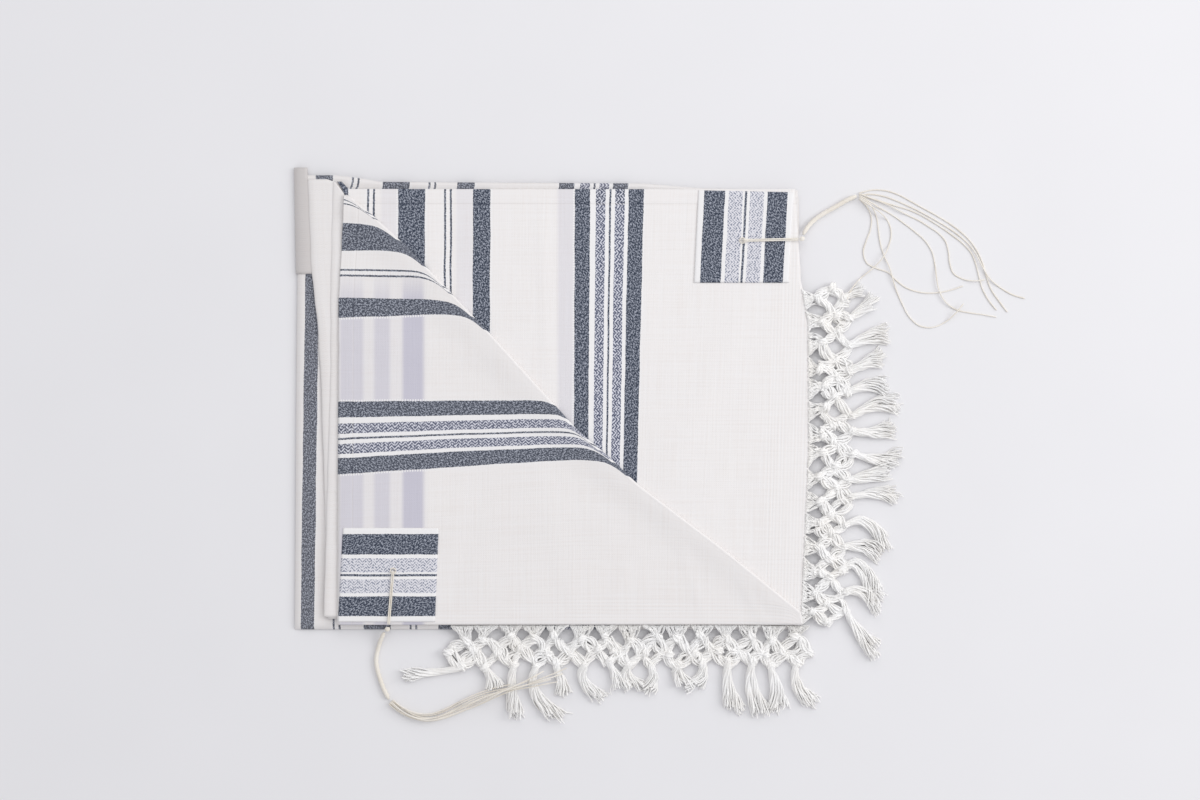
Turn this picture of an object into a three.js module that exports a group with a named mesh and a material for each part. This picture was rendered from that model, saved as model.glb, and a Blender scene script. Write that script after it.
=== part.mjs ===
// Tallit, a fringed prayer shawl, folded and lying on a table. Millimetres, +Z up, +X towards the
// fringed end, +Y towards the folded back edge. The shawl is 910 x 1830 mm: it is folded fringe to
// fringe, folded again, and folded along its length. One half of the top end is then turned through
// a right angle, so that its corner lies at the front left and its fringe along the front.
import * as THREE from "three";

// Cloth, and the gap that neighbouring pieces keep.
const WALL = 1.0;
const GAP = 0.3;
const STEP = WALL + GAP;

// The folded bundle.
const HIDDEN_LAYERS = 4;
const HIDDEN_LAYER_HEIGHT = 1.1;
const HIDDEN_HEIGHT = HIDDEN_LAYERS * HIDDEN_LAYER_HEIGHT;
const LAYER_CREASE = 0.9; // how far the groove between two layers goes in
const SWELL = 0.8; // slow rise and fall of cloth laid on cloth
const FOLD_REACH = 8; // a soft fold's roll, seen from above
const FLOOR_CLEARANCE = 0.8; // middle of the wall where a roll meets the table
const UNDER_FRONT = -181;
const UNDER_RIGHT = 202;
const UPPER_FRONT = -168;
const NECK_BACK = 289.2;
const BACK_BEND = 250; // rows further back than this follow the uneven back edges
const CURL_REACH = 4; // a curled edge's width
const CURL_MIDDLE = -255; // where a curled panel goes under the turned corner
const LEFT_PUFF = 2.4; // folds at the left stand up by this
const LEFT_PUFF_FULL = -250;
const LEFT_PUFF_END = -110;

// Corner patches, eyelets, tzitzit.
const EYELET_RADIUS = 2.7;
const EYELET_THREAD = 1.4;
const LOOP_THREAD = 1.5;
const STRAND = 1.4;
const WOUND = 5.0;
const WOUND_FALL = 2.6; // how much lower each point of its route lies, down to the table
const KNOT = 6.4;
const CORD_SIDES = 8;
const STRAND_STEPS = 15;
const LAY_SAMPLE = 1.2; // how finely a strand feels for what lies under it
const TABLE_GAP = 0.05; // a cord's underside over the table

// Fringe: height of its plain solid at the cloth and at the tassel tips.
const FRINGE_ROOT = 8.5;
const FRINGE_TIP = 2.5;

// The turned corner: its roll along the diagonal.
const ROLL_RADIUS = 1.7;
const ROLL_RETURN = 18; // cloth that goes back under the roll
const CREST = 3.6; // how far the turned cloth stands up beside the roll
const CREST_REACH = 22;
const CREST_STATIONS = [9, 18, 27, 38, 52]; // columns across the crest, in from the diagonal
const ROLL_ROOM = 70; // cloth that the roll and its crest need; where there's less, they shrink
const PLAIN_FROM = 0.9; // share of that room after which the columns are evenly spaced
const PLAIN_COLUMNS = 8;
const LONG_ROW = 30; // rows further apart than this have one more between them

const COLOURS = {
  cream: 0xf3efe6,
  stripe: 0x5b6472,
  white: 0xf8f7f3,
  thread: 0xf1ebdd,
};

// Side edges of each stretch of cloth, by their distance towards the back.
const UNDER_LEFT = [
  { y: -181, x: -310.3 },
  { y: 90, x: -308.6 },
  { y: 180, x: -307.6 },
  { y: 288, x: -309.6 },
];
const MIDDLE_LEFT = [
  { y: -168, x: -276 },
  { y: -94, x: -278 },
  { y: 64, x: -283 },
  { y: 136, x: -287 },
  { y: 181, x: -292.5 },
  { y: 204, x: -293.7 },
  { y: 284, x: -297 },
];
// Back edges, by the place across: the hidden fold's back edge shows above the upper panel.
const UNDER_BACK = [
  { x: -312, y: 281.5 },
  { x: -267, y: 281.2 },
  { x: -246, y: 278.6 },
  { x: -222, y: 274.6 },
  { x: -145, y: 274 },
  { x: 45, y: 273 },
  { x: 105, y: 268 },
  { x: 204, y: 266 },
];
const FOLD_BACK = [
  { x: -300, y: 277 },
  { x: -276, y: 277 },
  { x: -268, y: 273.6 },
  { x: -258, y: 260 },
  { x: -250, y: 256 },
  { x: 206, y: 256 },
];
const UPPER_BACK = [
  { x: -270, y: 274.6 },
  { x: -262, y: 274.6 },
  { x: -257, y: 269 },
  { x: -254, y: 267 },
  { x: 206, y: 267 },
];
const NECK_RIGHT = [
  { y: 181, x: -286 },
  { y: 262, x: -290 },
  { y: 277, x: -297 },
  { y: 289.2, x: -299 },
];
const UPPER_LEFT = [
  { y: -168, x: -255.5 },
  { y: 200, x: -253.5 },
  { y: 240, x: -257.6 },
  { y: 258, x: -256.7 },
  { y: 261, x: -257.4 },
  { y: 267, x: -261.6 },
  { y: 274.6, x: -266.8 },
];
const STRIP_LEFT = [
  { y: -168, x: -280 },
  { y: 93, x: -273 },
  { y: 155, x: -273.5 },
  { y: 270, x: -270.8 },
];
const STRIP_RIGHT = [
  { y: -168, x: -256 },
  { y: 200, x: -254 },
  { y: 240, x: -258.8 },
  { y: 270, x: -259.2 },
];
const UPPER_RIGHT = [
  { y: -168, x: 206 },
  { y: 0, x: 213.5 },
  { y: 130, x: 213 },
  { y: 175, x: 205 },
  { y: 267, x: 199 },
];
const TURNED_LEFT = [
  { y: -176, x: -266.5 },
  { y: 154, x: -265.2 },
  { y: 204, x: -262.2 },
  { y: 256, x: -259.4 },
];
// The diagonal that the turned corner is rolled along, from the front right to the back left.
const DIAGONAL = [
  { y: -176, x: 205.5 },
  { y: -164, x: 203 },
  { y: -99, x: 122.9 },
  { y: -35, x: 38.2 },
  { y: -6, x: 7.5 },
  { y: 21, x: -24 },
  { y: 120, x: -113.9 },
  { y: 188, x: -179 },
  { y: 213, x: -203.7 },
  { y: 239, x: -232.1 },
  { y: 256, x: -252 },
];
const DIAGONAL_OUTWARD = new THREE.Vector3(0.69, 0.72, 0);

// Corners of the two patches that show, from the front left round to the back left.
const UPPER_PATCH = [
  { x: 95.9, y: 171.9 },
  { x: 192.3, y: 171.9 },
  { x: 197.4, y: 263.7 },
  { x: 100.5, y: 265.7 },
];
const LOWER_PATCH = [
  { x: -265.7, y: -172.9 },
  { x: -167.3, y: -172.9 },
  { x: -163.7, y: -77.5 },
  { x: -260.6, y: -77.5 },
];
const UPPER_EYELET = { x: 145.3, y: 214.7 };
const LOWER_EYELET = { x: -209.6, y: -120.9 };

// Reach of the fringe, from where it leaves the cloth to its tassel tips.
const RIGHT_FRINGE = [
  { along: -233, root: 210.5, tip: 268 },
  { along: -205, root: 210.5, tip: 285 },
  { along: -177, root: 210.5, tip: 287 },
  { along: -126, root: 210.5, tip: 292 },
  { along: -95, root: 212, tip: 296 },
  { along: -60, root: 213, tip: 310 },
  { along: -35, root: 214, tip: 310 },
  { along: 45, root: 215, tip: 310 },
  { along: 100, root: 215, tip: 311.6 },
  { along: 125, root: 215, tip: 302 },
  { along: 150, root: 213, tip: 285 },
  { along: 170, root: 211, tip: 252 },
];
const FRONT_FRINGE = [
  { along: -200, root: -206, tip: -234 },
  { along: -160, root: -190, tip: -240 },
  { along: -148, root: -183, tip: -246 },
  { along: -101, root: -183, tip: -260 },
  { along: -76, root: -183, tip: -280 },
  { along: -61, root: -183, tip: -289.2 },
  { along: -40, root: -183, tip: -275 },
  { along: 0, root: -183, tip: -259 },
  { along: 46, root: -183, tip: -246 },
  { along: 80, root: -183, tip: -244 },
  { along: 107, root: -183, tip: -256 },
  { along: 143, root: -183, tip: -289.2 },
  { along: 169, root: -183, tip: -280 },
  { along: 209, root: -183, tip: -268 },
];

// Routes of the tzitzit as seen from above: the wound part, then the free strands.
const UPPER_WOUND = [
  [207.2, 221],
  [213, 230],
  [221, 237.5],
  [230, 243.5],
  [240, 249],
  [251, 255.5],
  [262, 260.5],
];
const UPPER_STRANDS = [
  [[264.5, 263.6], [273, 265.8], [284, 267], [296, 265], [309, 260], [322, 252.5], [336, 245], [350, 237],
    [362, 229], [374, 219], [383, 208], [390, 194], [394, 180], [399, 166], [407, 154], [416, 142]],
  [[264.5, 261.7], [273, 262.4], [285, 261.6], [298, 257.5], [312, 251.8], [326, 245], [338, 238.6],
    [351, 231], [363, 223], [375, 213], [384, 201], [391, 187], [399, 175], [409, 167], [421, 160],
    [434, 156]],
  [[264.5, 259.8], [274, 259], [285, 255.6], [298, 251.6], [314, 247], [328, 241], [340, 234], [353, 225.5],
    [365, 216.5], [376, 207], [382, 196], [386, 183], [389, 170], [395, 157], [405, 144]],
  [[264.5, 257.9], [271, 252], [276, 243], [277.5, 233], [275, 222], [271, 212], [269, 202], [272, 193],
    [280, 187.5], [292, 184], [301, 176], [311, 168], [324, 163], [339, 161.5], [356, 164], [371, 169]],
  [[264.5, 263.2], [276, 258.5], [294, 251.5], [310, 243], [325, 236], [337, 228.5], [347, 221.5],
    [353.5, 213], [356, 203], [357, 193], [360, 183], [368, 177], [379, 174], [393, 175]],
  [[264.5, 261.4], [276, 254], [290, 246], [302, 239], [314, 230], [326, 220.5], [336, 210], [341, 197],
    [343, 182], [345, 168], [350, 156], [359, 147], [371, 142.5], [386, 140.5], [405, 137]],
  [[264.5, 259.5], [274, 253], [281, 244], [284, 229], [286, 214], [290, 200], [295.5, 188], [299.5, 174],
    [304, 161], [310, 148], [317, 136], [327, 128], [339, 126.5], [351, 131], [362, 140], [371, 151]],
  [[264.5, 257.6], [275, 250.5], [286, 243], [294, 235], [297.5, 223], [295, 210], [290, 199.5], [283, 191],
    [274, 183], [264, 174.5], [256.5, 165], [252, 155]],
];
const LOWER_WOUND = [
  [-219, -184],
  [-222.5, -191.5],
  [-225.5, -201],
  [-227.5, -211],
  [-226.5, -221.5],
  [-223.5, -232],
  [-219.5, -243],
  [-214.5, -252.5],
];
const LOWER_BUNDLE = [
  [-212.8, -255],
  [-206, -261],
  [-196, -267],
  [-185, -271],
  [-173, -272],
  [-160, -269],
  [-147, -263.5],
  [-135, -258],
  [-122, -252.5],
  [-107, -246.5],
  [-90, -241.5],
  [-74, -237],
  [-57, -231.5],
  [-44, -227.5],
  [-32, -223.5],
];
// How far each lower strand lies beside the middle of the bundle, and how much of it each runs.
const LOWER_STRANDS = [
  { start: -2.85, middle: 2.6, end: -8.5, share: 0.93 },
  { start: -0.95, middle: -5.2, end: 3.5, share: 1.0 },
  { start: 0.95, middle: 4.6, end: -4.5, share: 0.9 },
  { start: 2.85, middle: -2.8, end: 9.0, share: 0.84 },
  { start: -2.85, middle: -0.4, end: 6.4, share: 0.78 },
  { start: -0.95, middle: 1.2, end: -1.0, share: 0.97 },
  { start: 0.95, middle: -4.0, end: 11.5, share: 0.88 },
  { start: 2.85, middle: 6.4, end: 1.4, share: 0.7 },
];

// Layers that don't show: the edges of each, from the bottom up.
const HIDDEN_EDGES = [
  { left: -299, right: 199, front: -172, back: 264 },
  { left: -301, right: 202, front: -170, back: 266 },
  { left: -300, right: 200, front: -173, back: 265 },
  { left: -298, right: 203, front: -171, back: 263 },
];
const HIDDEN_CORNER = 6;

// ---- small helpers -------------------------------------------------------------------------

const span = (from, to, count) =>
  Array.from({ length: count + 1 }, (_, i) => from + ((to - from) * i) / count);

// Value at a place in a table whose rows run in the order of one column.
function tableAt(table, column, place, value) {
  const last = table.length - 1;
  let i = 0;
  while (i < last - 1 && place > table[i + 1][column]) i += 1;
  const from = table[i];
  const to = table[i + 1];
  const share = THREE.MathUtils.clamp((place - from[column]) / (to[column] - from[column]), 0, 1);
  return from[value] + (to[value] - from[value]) * share;
}

const edgeAt = (table, y) => tableAt(table, "y", y, "x");

// A closed solid between two grids of points that have the same rows and columns.
function closedBetween(top, bottom) {
  const rows = top.length;
  const columns = top[0].length;
  const index = [];
  const at = (side, row, column) => (side * rows + row) * columns + column;
  const quad = (a, b, c, d) => index.push(a, b, c, a, c, d);
  for (let r = 0; r < rows - 1; r += 1) {
    for (let c = 0; c < columns - 1; c += 1) {
      quad(at(0, r, c), at(0, r, c + 1), at(0, r + 1, c + 1), at(0, r + 1, c));
      quad(at(1, r, c), at(1, r + 1, c), at(1, r + 1, c + 1), at(1, r, c + 1));
    }
    quad(at(1, r + 1, 0), at(1, r, 0), at(0, r, 0), at(0, r + 1, 0));
    quad(at(1, r, columns - 1), at(1, r + 1, columns - 1), at(0, r + 1, columns - 1), at(0, r, columns - 1));
  }
  for (let c = 0; c < columns - 1; c += 1) {
    quad(at(1, 0, c), at(1, 0, c + 1), at(0, 0, c + 1), at(0, 0, c));
    quad(at(1, rows - 1, c + 1), at(1, rows - 1, c), at(0, rows - 1, c), at(0, rows - 1, c + 1));
  }
  const points = [...top.flat(), ...bottom.flat()];
  const geometry = new THREE.BufferGeometry();
  geometry.setAttribute("position", new THREE.Float32BufferAttribute(points.flatMap((p) => p.toArray()), 3));
  geometry.setIndex(index);
  geometry.computeVertexNormals();
  return geometry;
}

// The grid moved out from itself by a distance, along its own normals.
function movedOut(grid, distance) {
  const rows = grid.length - 1;
  const columns = grid[0].length - 1;
  return grid.map((line, r) =>
    line.map((point, c) => {
      const across = line[Math.min(c + 1, columns)].clone().sub(line[Math.max(c - 1, 0)]);
      const along = grid[Math.min(r + 1, rows)][c].clone().sub(grid[Math.max(r - 1, 0)][c]);
      return across.cross(along).normalize().multiplyScalar(distance).add(point);
    }),
  );
}

const clothWall = (middle) => closedBetween(movedOut(middle, WALL / 2), movedOut(middle, -WALL / 2));

function piece(name, geometry, colour) {
  const material = new THREE.MeshStandardMaterial({ color: colour, roughness: 0.9, metalness: 0 });
  const mesh = new THREE.Mesh(geometry, material);
  mesh.name = name;
  return mesh;
}

// ---- heights of the layers' middle surfaces ------------------------------------------------

const swell = (x, y) => SWELL * (0.5 + 0.5 * Math.sin(x / 83 + 0.6) * Math.cos(y / 61 - 0.3));
const leftPuff = (x) => LEFT_PUFF * (1 - THREE.MathUtils.smoothstep(x, LEFT_PUFF_FULL, LEFT_PUFF_END));
const underHeight = (x, y) => HIDDEN_HEIGHT + GAP + WALL / 2 + swell(x, y);
const middleHeight = (x, y) => underHeight(x, y) + STEP + leftPuff(x);
const upperHeight = (x, y) => middleHeight(x, y) + STEP;

function turnedHeight(x, y) {
  const outFromDiagonal = (edgeAt(DIAGONAL, y) - x) * DIAGONAL_OUTWARD.x;
  return upperHeight(x, y) + STEP + CREST * Math.exp(-((outFromDiagonal / CREST_REACH) ** 2));
}

// ---- the folded cloth ----------------------------------------------------------------------

function roundedOutline(edges, inset) {
  const shape = new THREE.Shape();
  const { left, right, front, back } = edges;
  const r = HIDDEN_CORNER;
  shape.absarc(right - inset - r, back - inset - r, r, 0, Math.PI / 2);
  shape.absarc(left + inset + r, back - inset - r, r, Math.PI / 2, Math.PI);
  shape.absarc(left + inset + r, front + inset + r, r, Math.PI, 1.5 * Math.PI);
  shape.absarc(right - inset - r, front + inset + r, r, 1.5 * Math.PI, 2 * Math.PI);
  return shape.getPoints(3).slice(0, -1);
}

// Layers that don't show: one solid, flat underneath, with a rounded fold edge for each layer.
function hiddenLayers() {
  const rings = [];
  HIDDEN_EDGES.forEach((edges, layer) => {
    const bottom = layer * HIDDEN_LAYER_HEIGHT;
    if (layer === 0) rings.push({ z: bottom, outline: roundedOutline(edges, LAYER_CREASE / 2) });
    rings.push({ z: bottom + HIDDEN_LAYER_HEIGHT * 0.3, outline: roundedOutline(edges, 0) });
    rings.push({ z: bottom + HIDDEN_LAYER_HEIGHT * 0.7, outline: roundedOutline(edges, 0) });
    rings.push({ z: bottom + HIDDEN_LAYER_HEIGHT, outline: roundedOutline(edges, LAYER_CREASE) });
  });
  const count = rings[0].outline.length;
  const positions = rings.flatMap((ring) => ring.outline.flatMap((p) => [p.x, p.y, ring.z]));
  const index = [];
  for (let k = 0; k < rings.length - 1; k += 1) {
    for (let i = 0; i < count; i += 1) {
      const a = k * count + i;
      const b = k * count + ((i + 1) % count);
      index.push(a, b, b + count, a, b + count, a + count);
    }
  }
  const lastRing = (rings.length - 1) * count;
  for (let i = 1; i < count - 1; i += 1) {
    index.push(0, i + 1, i);
    index.push(lastRing, lastRing + i, lastRing + i + 1);
  }
  const geometry = new THREE.BufferGeometry();
  geometry.setAttribute("position", new THREE.Float32BufferAttribute(positions, 3));
  geometry.setIndex(index);
  geometry.computeVertexNormals();
  return geometry;
}

// A row's place at one point across, where the back edge isn't straight. Rows in front of the bend
// keep their places.
function towardsBack(y, furthest, back) {
  return y <= BACK_BEND ? y : BACK_BEND + ((y - BACK_BEND) * (back - BACK_BEND)) / (furthest - BACK_BEND);
}

// Stations of a quarter-round fold: how far in from the edge, and how much of its rise it has.
const foldStations = (steps) =>
  span(0, Math.PI / 2, steps).map((angle) => ({
    inward: FOLD_REACH * (1 - Math.cos(angle)),
    rise: Math.sin(angle),
  }));

// Middle surface of the other end of the shawl, which shows all round: rolled at the left, and at the
// front where it has rows for that.
function underGrid({ rows, placeAt, rightAt, columnCount }) {
  return rows.map(({ y, rise: along }) => {
    const left = edgeAt(UNDER_LEFT, y);
    const columns = foldStations(4).map(({ inward, rise }) => ({ x: left + inward, across: rise }));
    const plain = span(left + FOLD_REACH, rightAt(y), columnCount).slice(1);
    plain.forEach((x) => columns.push({ x, across: 1 }));
    return columns.map(({ x, across }) => {
      const place = placeAt(x, y);
      const height = FLOOR_CLEARANCE + (underHeight(x, place) - FLOOR_CLEARANCE) * across * along;
      return new THREE.Vector3(x, place, height);
    });
  });
}

function underPanel() {
  const rolled = foldStations(4).map(({ inward, rise }) => ({ y: UNDER_FRONT + inward, rise }));
  const start = UNDER_FRONT + FOLD_REACH;
  const furthest = UNDER_BACK[0].y;
  const plain = [...span(start, BACK_BEND, 7).slice(1), furthest].map((y) => ({ y, rise: 1 }));
  const placeAt = (x, y) => towardsBack(y, furthest, tableAt(UNDER_BACK, "x", x, "y"));
  const rows = [...rolled, ...plain];
  return clothWall(underGrid({ rows, placeAt, rightAt: () => UNDER_RIGHT, columnCount: 12 }));
}

function neckband() {
  const rows = span(NECK_RIGHT[0].y, NECK_BACK, 5).map((y) => ({ y, rise: 1 }));
  const rightAt = (y) => edgeAt(NECK_RIGHT, y);
  const grid = underGrid({ rows, placeAt: (x, y) => y, rightAt, columnCount: 2 });
  return clothWall(movedOut(grid, STEP + GAP));
}

// A stretch of cloth whose left edge curls down, between two side edges that vary along it.
function curledGrid({ front, leftEdge, rightEdge, rowCount, columnCount, curl, heightAt }) {
  const furthest = FOLD_BACK[0].y;
  const rows = [...span(front, BACK_BEND, rowCount), (BACK_BEND + furthest) / 2, furthest];
  return rows.map((y) => {
    const left = edgeAt(leftEdge, y);
    const right = edgeAt(rightEdge, y);
    const reach = Math.min(CURL_REACH, (right - left) / 3);
    const middle = Math.min(right, CURL_MIDDLE);
    const plain = [...span(left + reach, middle, 3), ...span(middle, right, columnCount).slice(1)];
    const columns = [{ x: left, drop: curl }, { x: left + reach * 0.35, drop: curl * 0.35 }];
    columns.push(...plain.map((x) => ({ x, drop: 0 })));
    return columns.map(({ x, drop }) => {
      const place = towardsBack(y, furthest, tableAt(FOLD_BACK, "x", x, "y"));
      return new THREE.Vector3(x, place, heightAt(x, place) - drop);
    });
  });
}

const shifted = (table, by) => table.map(({ y, x }) => ({ y, x: x + by }));

const middleFold = () =>
  clothWall(
    curledGrid({
      front: -170,
      leftEdge: MIDDLE_LEFT,
      rightEdge: shifted(UPPER_RIGHT, -2),
      rowCount: 8,
      columnCount: 9,
      curl: 1.0,
      heightAt: middleHeight,
    }),
  );

const foldStrip = () =>
  clothWall(
    curledGrid({
      front: UPPER_FRONT,
      leftEdge: STRIP_LEFT,
      rightEdge: STRIP_RIGHT,
      rowCount: 8,
      columnCount: 0,
      curl: 0,
      heightAt: upperHeight,
    }),
  );

function upperPanel() {
  const furthest = UPPER_BACK[0].y;
  const rows = [...span(UPPER_FRONT, BACK_BEND, 9), 261, 267, furthest];
  return clothWall(
    rows.map((y) => {
      const left = edgeAt(UPPER_LEFT, y);
      const plain = span(left + 14, edgeAt(UPPER_RIGHT, y), 12);
      const across = [left, left + 5, left + 10, ...plain];
      return across.map((x) => {
        const place = towardsBack(y, furthest, tableAt(UPPER_BACK, "x", x, "y"));
        return new THREE.Vector3(x, place, upperHeight(x, place));
      });
    }),
  );
}

// The turned corner: each row starts with the cloth that goes back under the roll, goes round the
// roll, and then runs to the hem at the left.
function turnedCorner() {
  const rows = DIAGONAL.flatMap(({ y }, i) => {
    const next = DIAGONAL[Math.min(i + 1, DIAGONAL.length - 1)].y;
    return next - y > LONG_ROW ? [y, (y + next) / 2] : [y];
  });
  const grid = rows.map((y) => {
    const edge = edgeAt(DIAGONAL, y);
    const left = edgeAt(TURNED_LEFT, y);
    const room = Math.min(1, (edge - left) / ROLL_ROOM);
    const line = [ROLL_RETURN * room, (ROLL_RETURN / 2) * room].map(
      (inward) => new THREE.Vector3(edge - inward, y, upperHeight(edge - inward, y) + STEP),
    );
    const centre = new THREE.Vector3(edge, y, upperHeight(edge, y) + STEP + ROLL_RADIUS);
    span(0, Math.PI, 6).forEach((angle) => {
      const out = DIAGONAL_OUTWARD.clone().multiplyScalar(ROLL_RADIUS * Math.sin(angle));
      line.push(centre.clone().add(out).setZ(centre.z - ROLL_RADIUS * Math.cos(angle)));
    });
    const beside = CREST_STATIONS.map((inward) => edge - inward * room);
    const plainFrom = edge - ROLL_ROOM * PLAIN_FROM * room;
    [...beside, ...span(plainFrom, left, PLAIN_COLUMNS)].forEach((x) => {
      line.push(new THREE.Vector3(x, y, turnedHeight(x, y)));
    });
    return line.reverse();
  });
  return clothWall(grid);
}

// A patch laid on a panel: a four-cornered piece made from the panel's surface, moved out.
function patch(corners, heightAt) {
  const [frontLeft, frontRight, backRight, backLeft] = corners;
  const between = (a, b, share) => ({ x: a.x + (b.x - a.x) * share, y: a.y + (b.y - a.y) * share });
  return clothWall(
    span(0, 1, 6).map((along) =>
      span(0, 1, 6).map((across) => {
        const left = between(frontLeft, backLeft, along);
        const { x, y } = between(left, between(frontRight, backRight, along), across);
        return new THREE.Vector3(x, y, heightAt(x, y) + STEP);
      }),
    ),
  );
}

// Worked ring round an eyelet, resting on its patch.
function eyelet(place, heightAt) {
  const section = span(0, 2 * Math.PI, 6).map((angle) => {
    const r = EYELET_THREAD / 2;
    return new THREE.Vector2(EYELET_RADIUS + r * Math.cos(angle), r * Math.sin(angle));
  });
  const ring = new THREE.LatheGeometry(section, 16);
  ring.rotateX(Math.PI / 2);
  const patchTop = heightAt(place.x, place.y) + STEP + WALL / 2;
  ring.translate(place.x, place.y, patchTop + GAP + EYELET_THREAD / 2);
  return ring;
}

// ---- fringe --------------------------------------------------------------------------------

const fringeHeight = (share) => FRINGE_ROOT + (FRINGE_TIP - FRINGE_ROOT) * share;

// Height of a fringe's solid over a point given along and out from the cloth's edge, or none.
function fringeUnder(table, along, out) {
  if (along < table[0].along || along > table[table.length - 1].along) return 0;
  const root = tableAt(table, "along", along, "root");
  const tip = tableAt(table, "along", along, "tip");
  const share = (out - root) / (tip - root);
  return share < 0 || share > 1 ? 0 : fringeHeight(share);
}

function fringeSolid(table, toPoint) {
  const shares = [0, 0.3, 0.65, 1];
  const top = table.map(({ along, root, tip }) =>
    shares.map((share) => toPoint(along, root + (tip - root) * share, fringeHeight(share))),
  );
  const bottom = top.map((line) => line.map((p) => p.clone().setZ(0)));
  return closedBetween(top, bottom);
}

const rightFringe = () => fringeSolid(RIGHT_FRINGE, (along, out, z) => new THREE.Vector3(out, along, z));
const frontFringe = () => fringeSolid(FRONT_FRINGE, (along, out, z) => new THREE.Vector3(along, out, z));

// ---- tzitzit -------------------------------------------------------------------------------

// A path of straight steps between points, which a tube follows corner by corner.
class StepPath extends THREE.Curve {
  constructor(points) {
    super();
    this.points = points;
  }

  getPoint(t) {
    const last = this.points.length - 1;
    const place = THREE.MathUtils.clamp(t, 0, 1) * last;
    const i = Math.min(Math.floor(place), last - 1);
    return this.points[i].clone().lerp(this.points[i + 1], place - i);
  }

  getPointAt(u) {
    return this.getPoint(u);
  }

  getTangentAt(u) {
    return this.getTangent(u);
  }
}

function tube(points, diameter) {
  const section = span(0, 2 * Math.PI, CORD_SIDES)
    .slice(0, -1)
    .map((angle) => new THREE.Vector2(Math.cos(angle), Math.sin(angle)).multiplyScalar(diameter / 2));
  return new THREE.ExtrudeGeometry(new THREE.Shape(section), {
    steps: points.length - 1,
    extrudePath: new StepPath(points),
    bevelEnabled: false,
  });
}

const groundUnder = (x, y) =>
  Math.max(fringeUnder(RIGHT_FRINGE, y, x), fringeUnder(FRONT_FRINGE, x, y));

// Lays a strand along a route seen from above: every step lies on the table, on the fringe, or on
// the strands laid before it.
function layStrand(route, laid) {
  const flat = new THREE.CatmullRomCurve3(route.map(([x, y]) => new THREE.Vector3(x, y, 0)));
  const points = flat.getSpacedPoints(STRAND_STEPS);
  const needs = points.slice(1).map((to, i) => {
    const samples = Math.ceil(points[i].distanceTo(to) / LAY_SAMPLE);
    const places = span(0, 1, samples).map((share) => points[i].clone().lerp(to, share));
    return Math.max(...places.map((place) => heightNeeded(place, laid)));
  });
  const last = needs.length - 1;
  return points.map((p, i) => p.clone().setZ(Math.max(needs[Math.max(i - 1, 0)], needs[Math.min(i, last)])));
}

function heightNeeded(place, laid) {
  const ground = groundUnder(place.x, place.y);
  let height = ground + STRAND / 2 + (ground > 0 ? GAP : TABLE_GAP);
  const reach = STRAND + GAP;
  laid.forEach((strand) => {
    strand.slice(1).forEach((to, i) => {
      const from = strand[i];
      const run = new THREE.Line3(from.clone().setZ(0), to.clone().setZ(0));
      const flatPlace = place.clone().setZ(0);
      const near = run.closestPointToPoint(flatPlace, true, new THREE.Vector3());
      if (near.distanceTo(flatPlace) < reach) height = Math.max(height, Math.max(from.z, to.z) + reach);
    });
  });
  return height;
}

function layAll(routes) {
  const laid = [];
  routes.forEach((route) => laid.push(layStrand(route, laid)));
  return laid;
}

// Routes beside the middle of the lower bundle.
function lowerRoutes() {
  const middle = new THREE.CatmullRomCurve3(LOWER_BUNDLE.map(([x, y]) => new THREE.Vector3(x, y, 0)));
  return LOWER_STRANDS.map(({ start, middle: half, end, share }) =>
    span(0, share, 14).map((u) => {
      const p = middle.getPointAt(u);
      const t = middle.getTangentAt(u);
      const beside = u < 0.5 ? start + (half - start) * 2 * u : half + (end - half) * 2 * (u - 0.5);
      return [p.x - t.y * beside, p.y + t.x * beside];
    }),
  );
}

// Two threads side by side from an eyelet to the knot at the cloth's edge.
function loopThread(place, towards, side, heightAt) {
  const along = new THREE.Vector2(towards.x - place.x, towards.y - place.y);
  const length = along.length();
  along.normalize();
  const beside = (side * (LOOP_THREAD + GAP)) / 2;
  const patchTop = (x, y) => heightAt(x, y) + STEP + WALL / 2 + GAP + LOOP_THREAD / 2;
  const overRing = EYELET_THREAD + GAP;
  const lifts = [
    { run: 0, lift: 0.1 },
    { run: EYELET_RADIUS - 1.2, lift: overRing + 0.4 },
    { run: EYELET_RADIUS + 1.4, lift: overRing + 0.4 },
    { run: EYELET_RADIUS + 7, lift: 0.1 },
    { run: (length + 12) / 2, lift: 0.1 },
    { run: length, lift: 0.1 },
  ];
  return lifts.map(({ run, lift }) => {
    const x = place.x + along.x * run - along.y * beside;
    const y = place.y + along.y * run + along.x * beside;
    return new THREE.Vector3(x, y, patchTop(x, y) + lift);
  });
}

// The wound part comes down from the knot to the table.
const woundPath = (route, startHeight) =>
  route.map(([x, y], i) => {
    const height = Math.max(WOUND / 2 + TABLE_GAP, startHeight - i * WOUND_FALL);
    return new THREE.Vector3(x, y, height);
  });

function knot(x, y, z) {
  const ball = new THREE.SphereGeometry(KNOT / 2, 12, 8);
  return ball.translate(x, y, z);
}

function tzitzit(name, { place, loopEnd, heightAt, knotAt, wound, woundStart, strands }) {
  const group = new THREE.Group();
  [-1, 1].forEach((side, i) => {
    const path = loopThread(place, loopEnd, side, heightAt);
    group.add(piece(`${name}_loop_${i + 1}`, tube(path, LOOP_THREAD), COLOURS.thread));
  });
  group.add(piece(`${name}_knot`, knot(knotAt.x, knotAt.y, knotAt.z), COLOURS.thread));
  group.add(piece(`${name}_wound`, tube(woundPath(wound, woundStart), WOUND), COLOURS.thread));
  layAll(strands).forEach((path, i) => {
    group.add(piece(`${name}_strand_${i + 1}`, tube(path, STRAND), COLOURS.thread));
  });
  return group;
}

// ---- the whole shawl -----------------------------------------------------------------------

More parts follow.
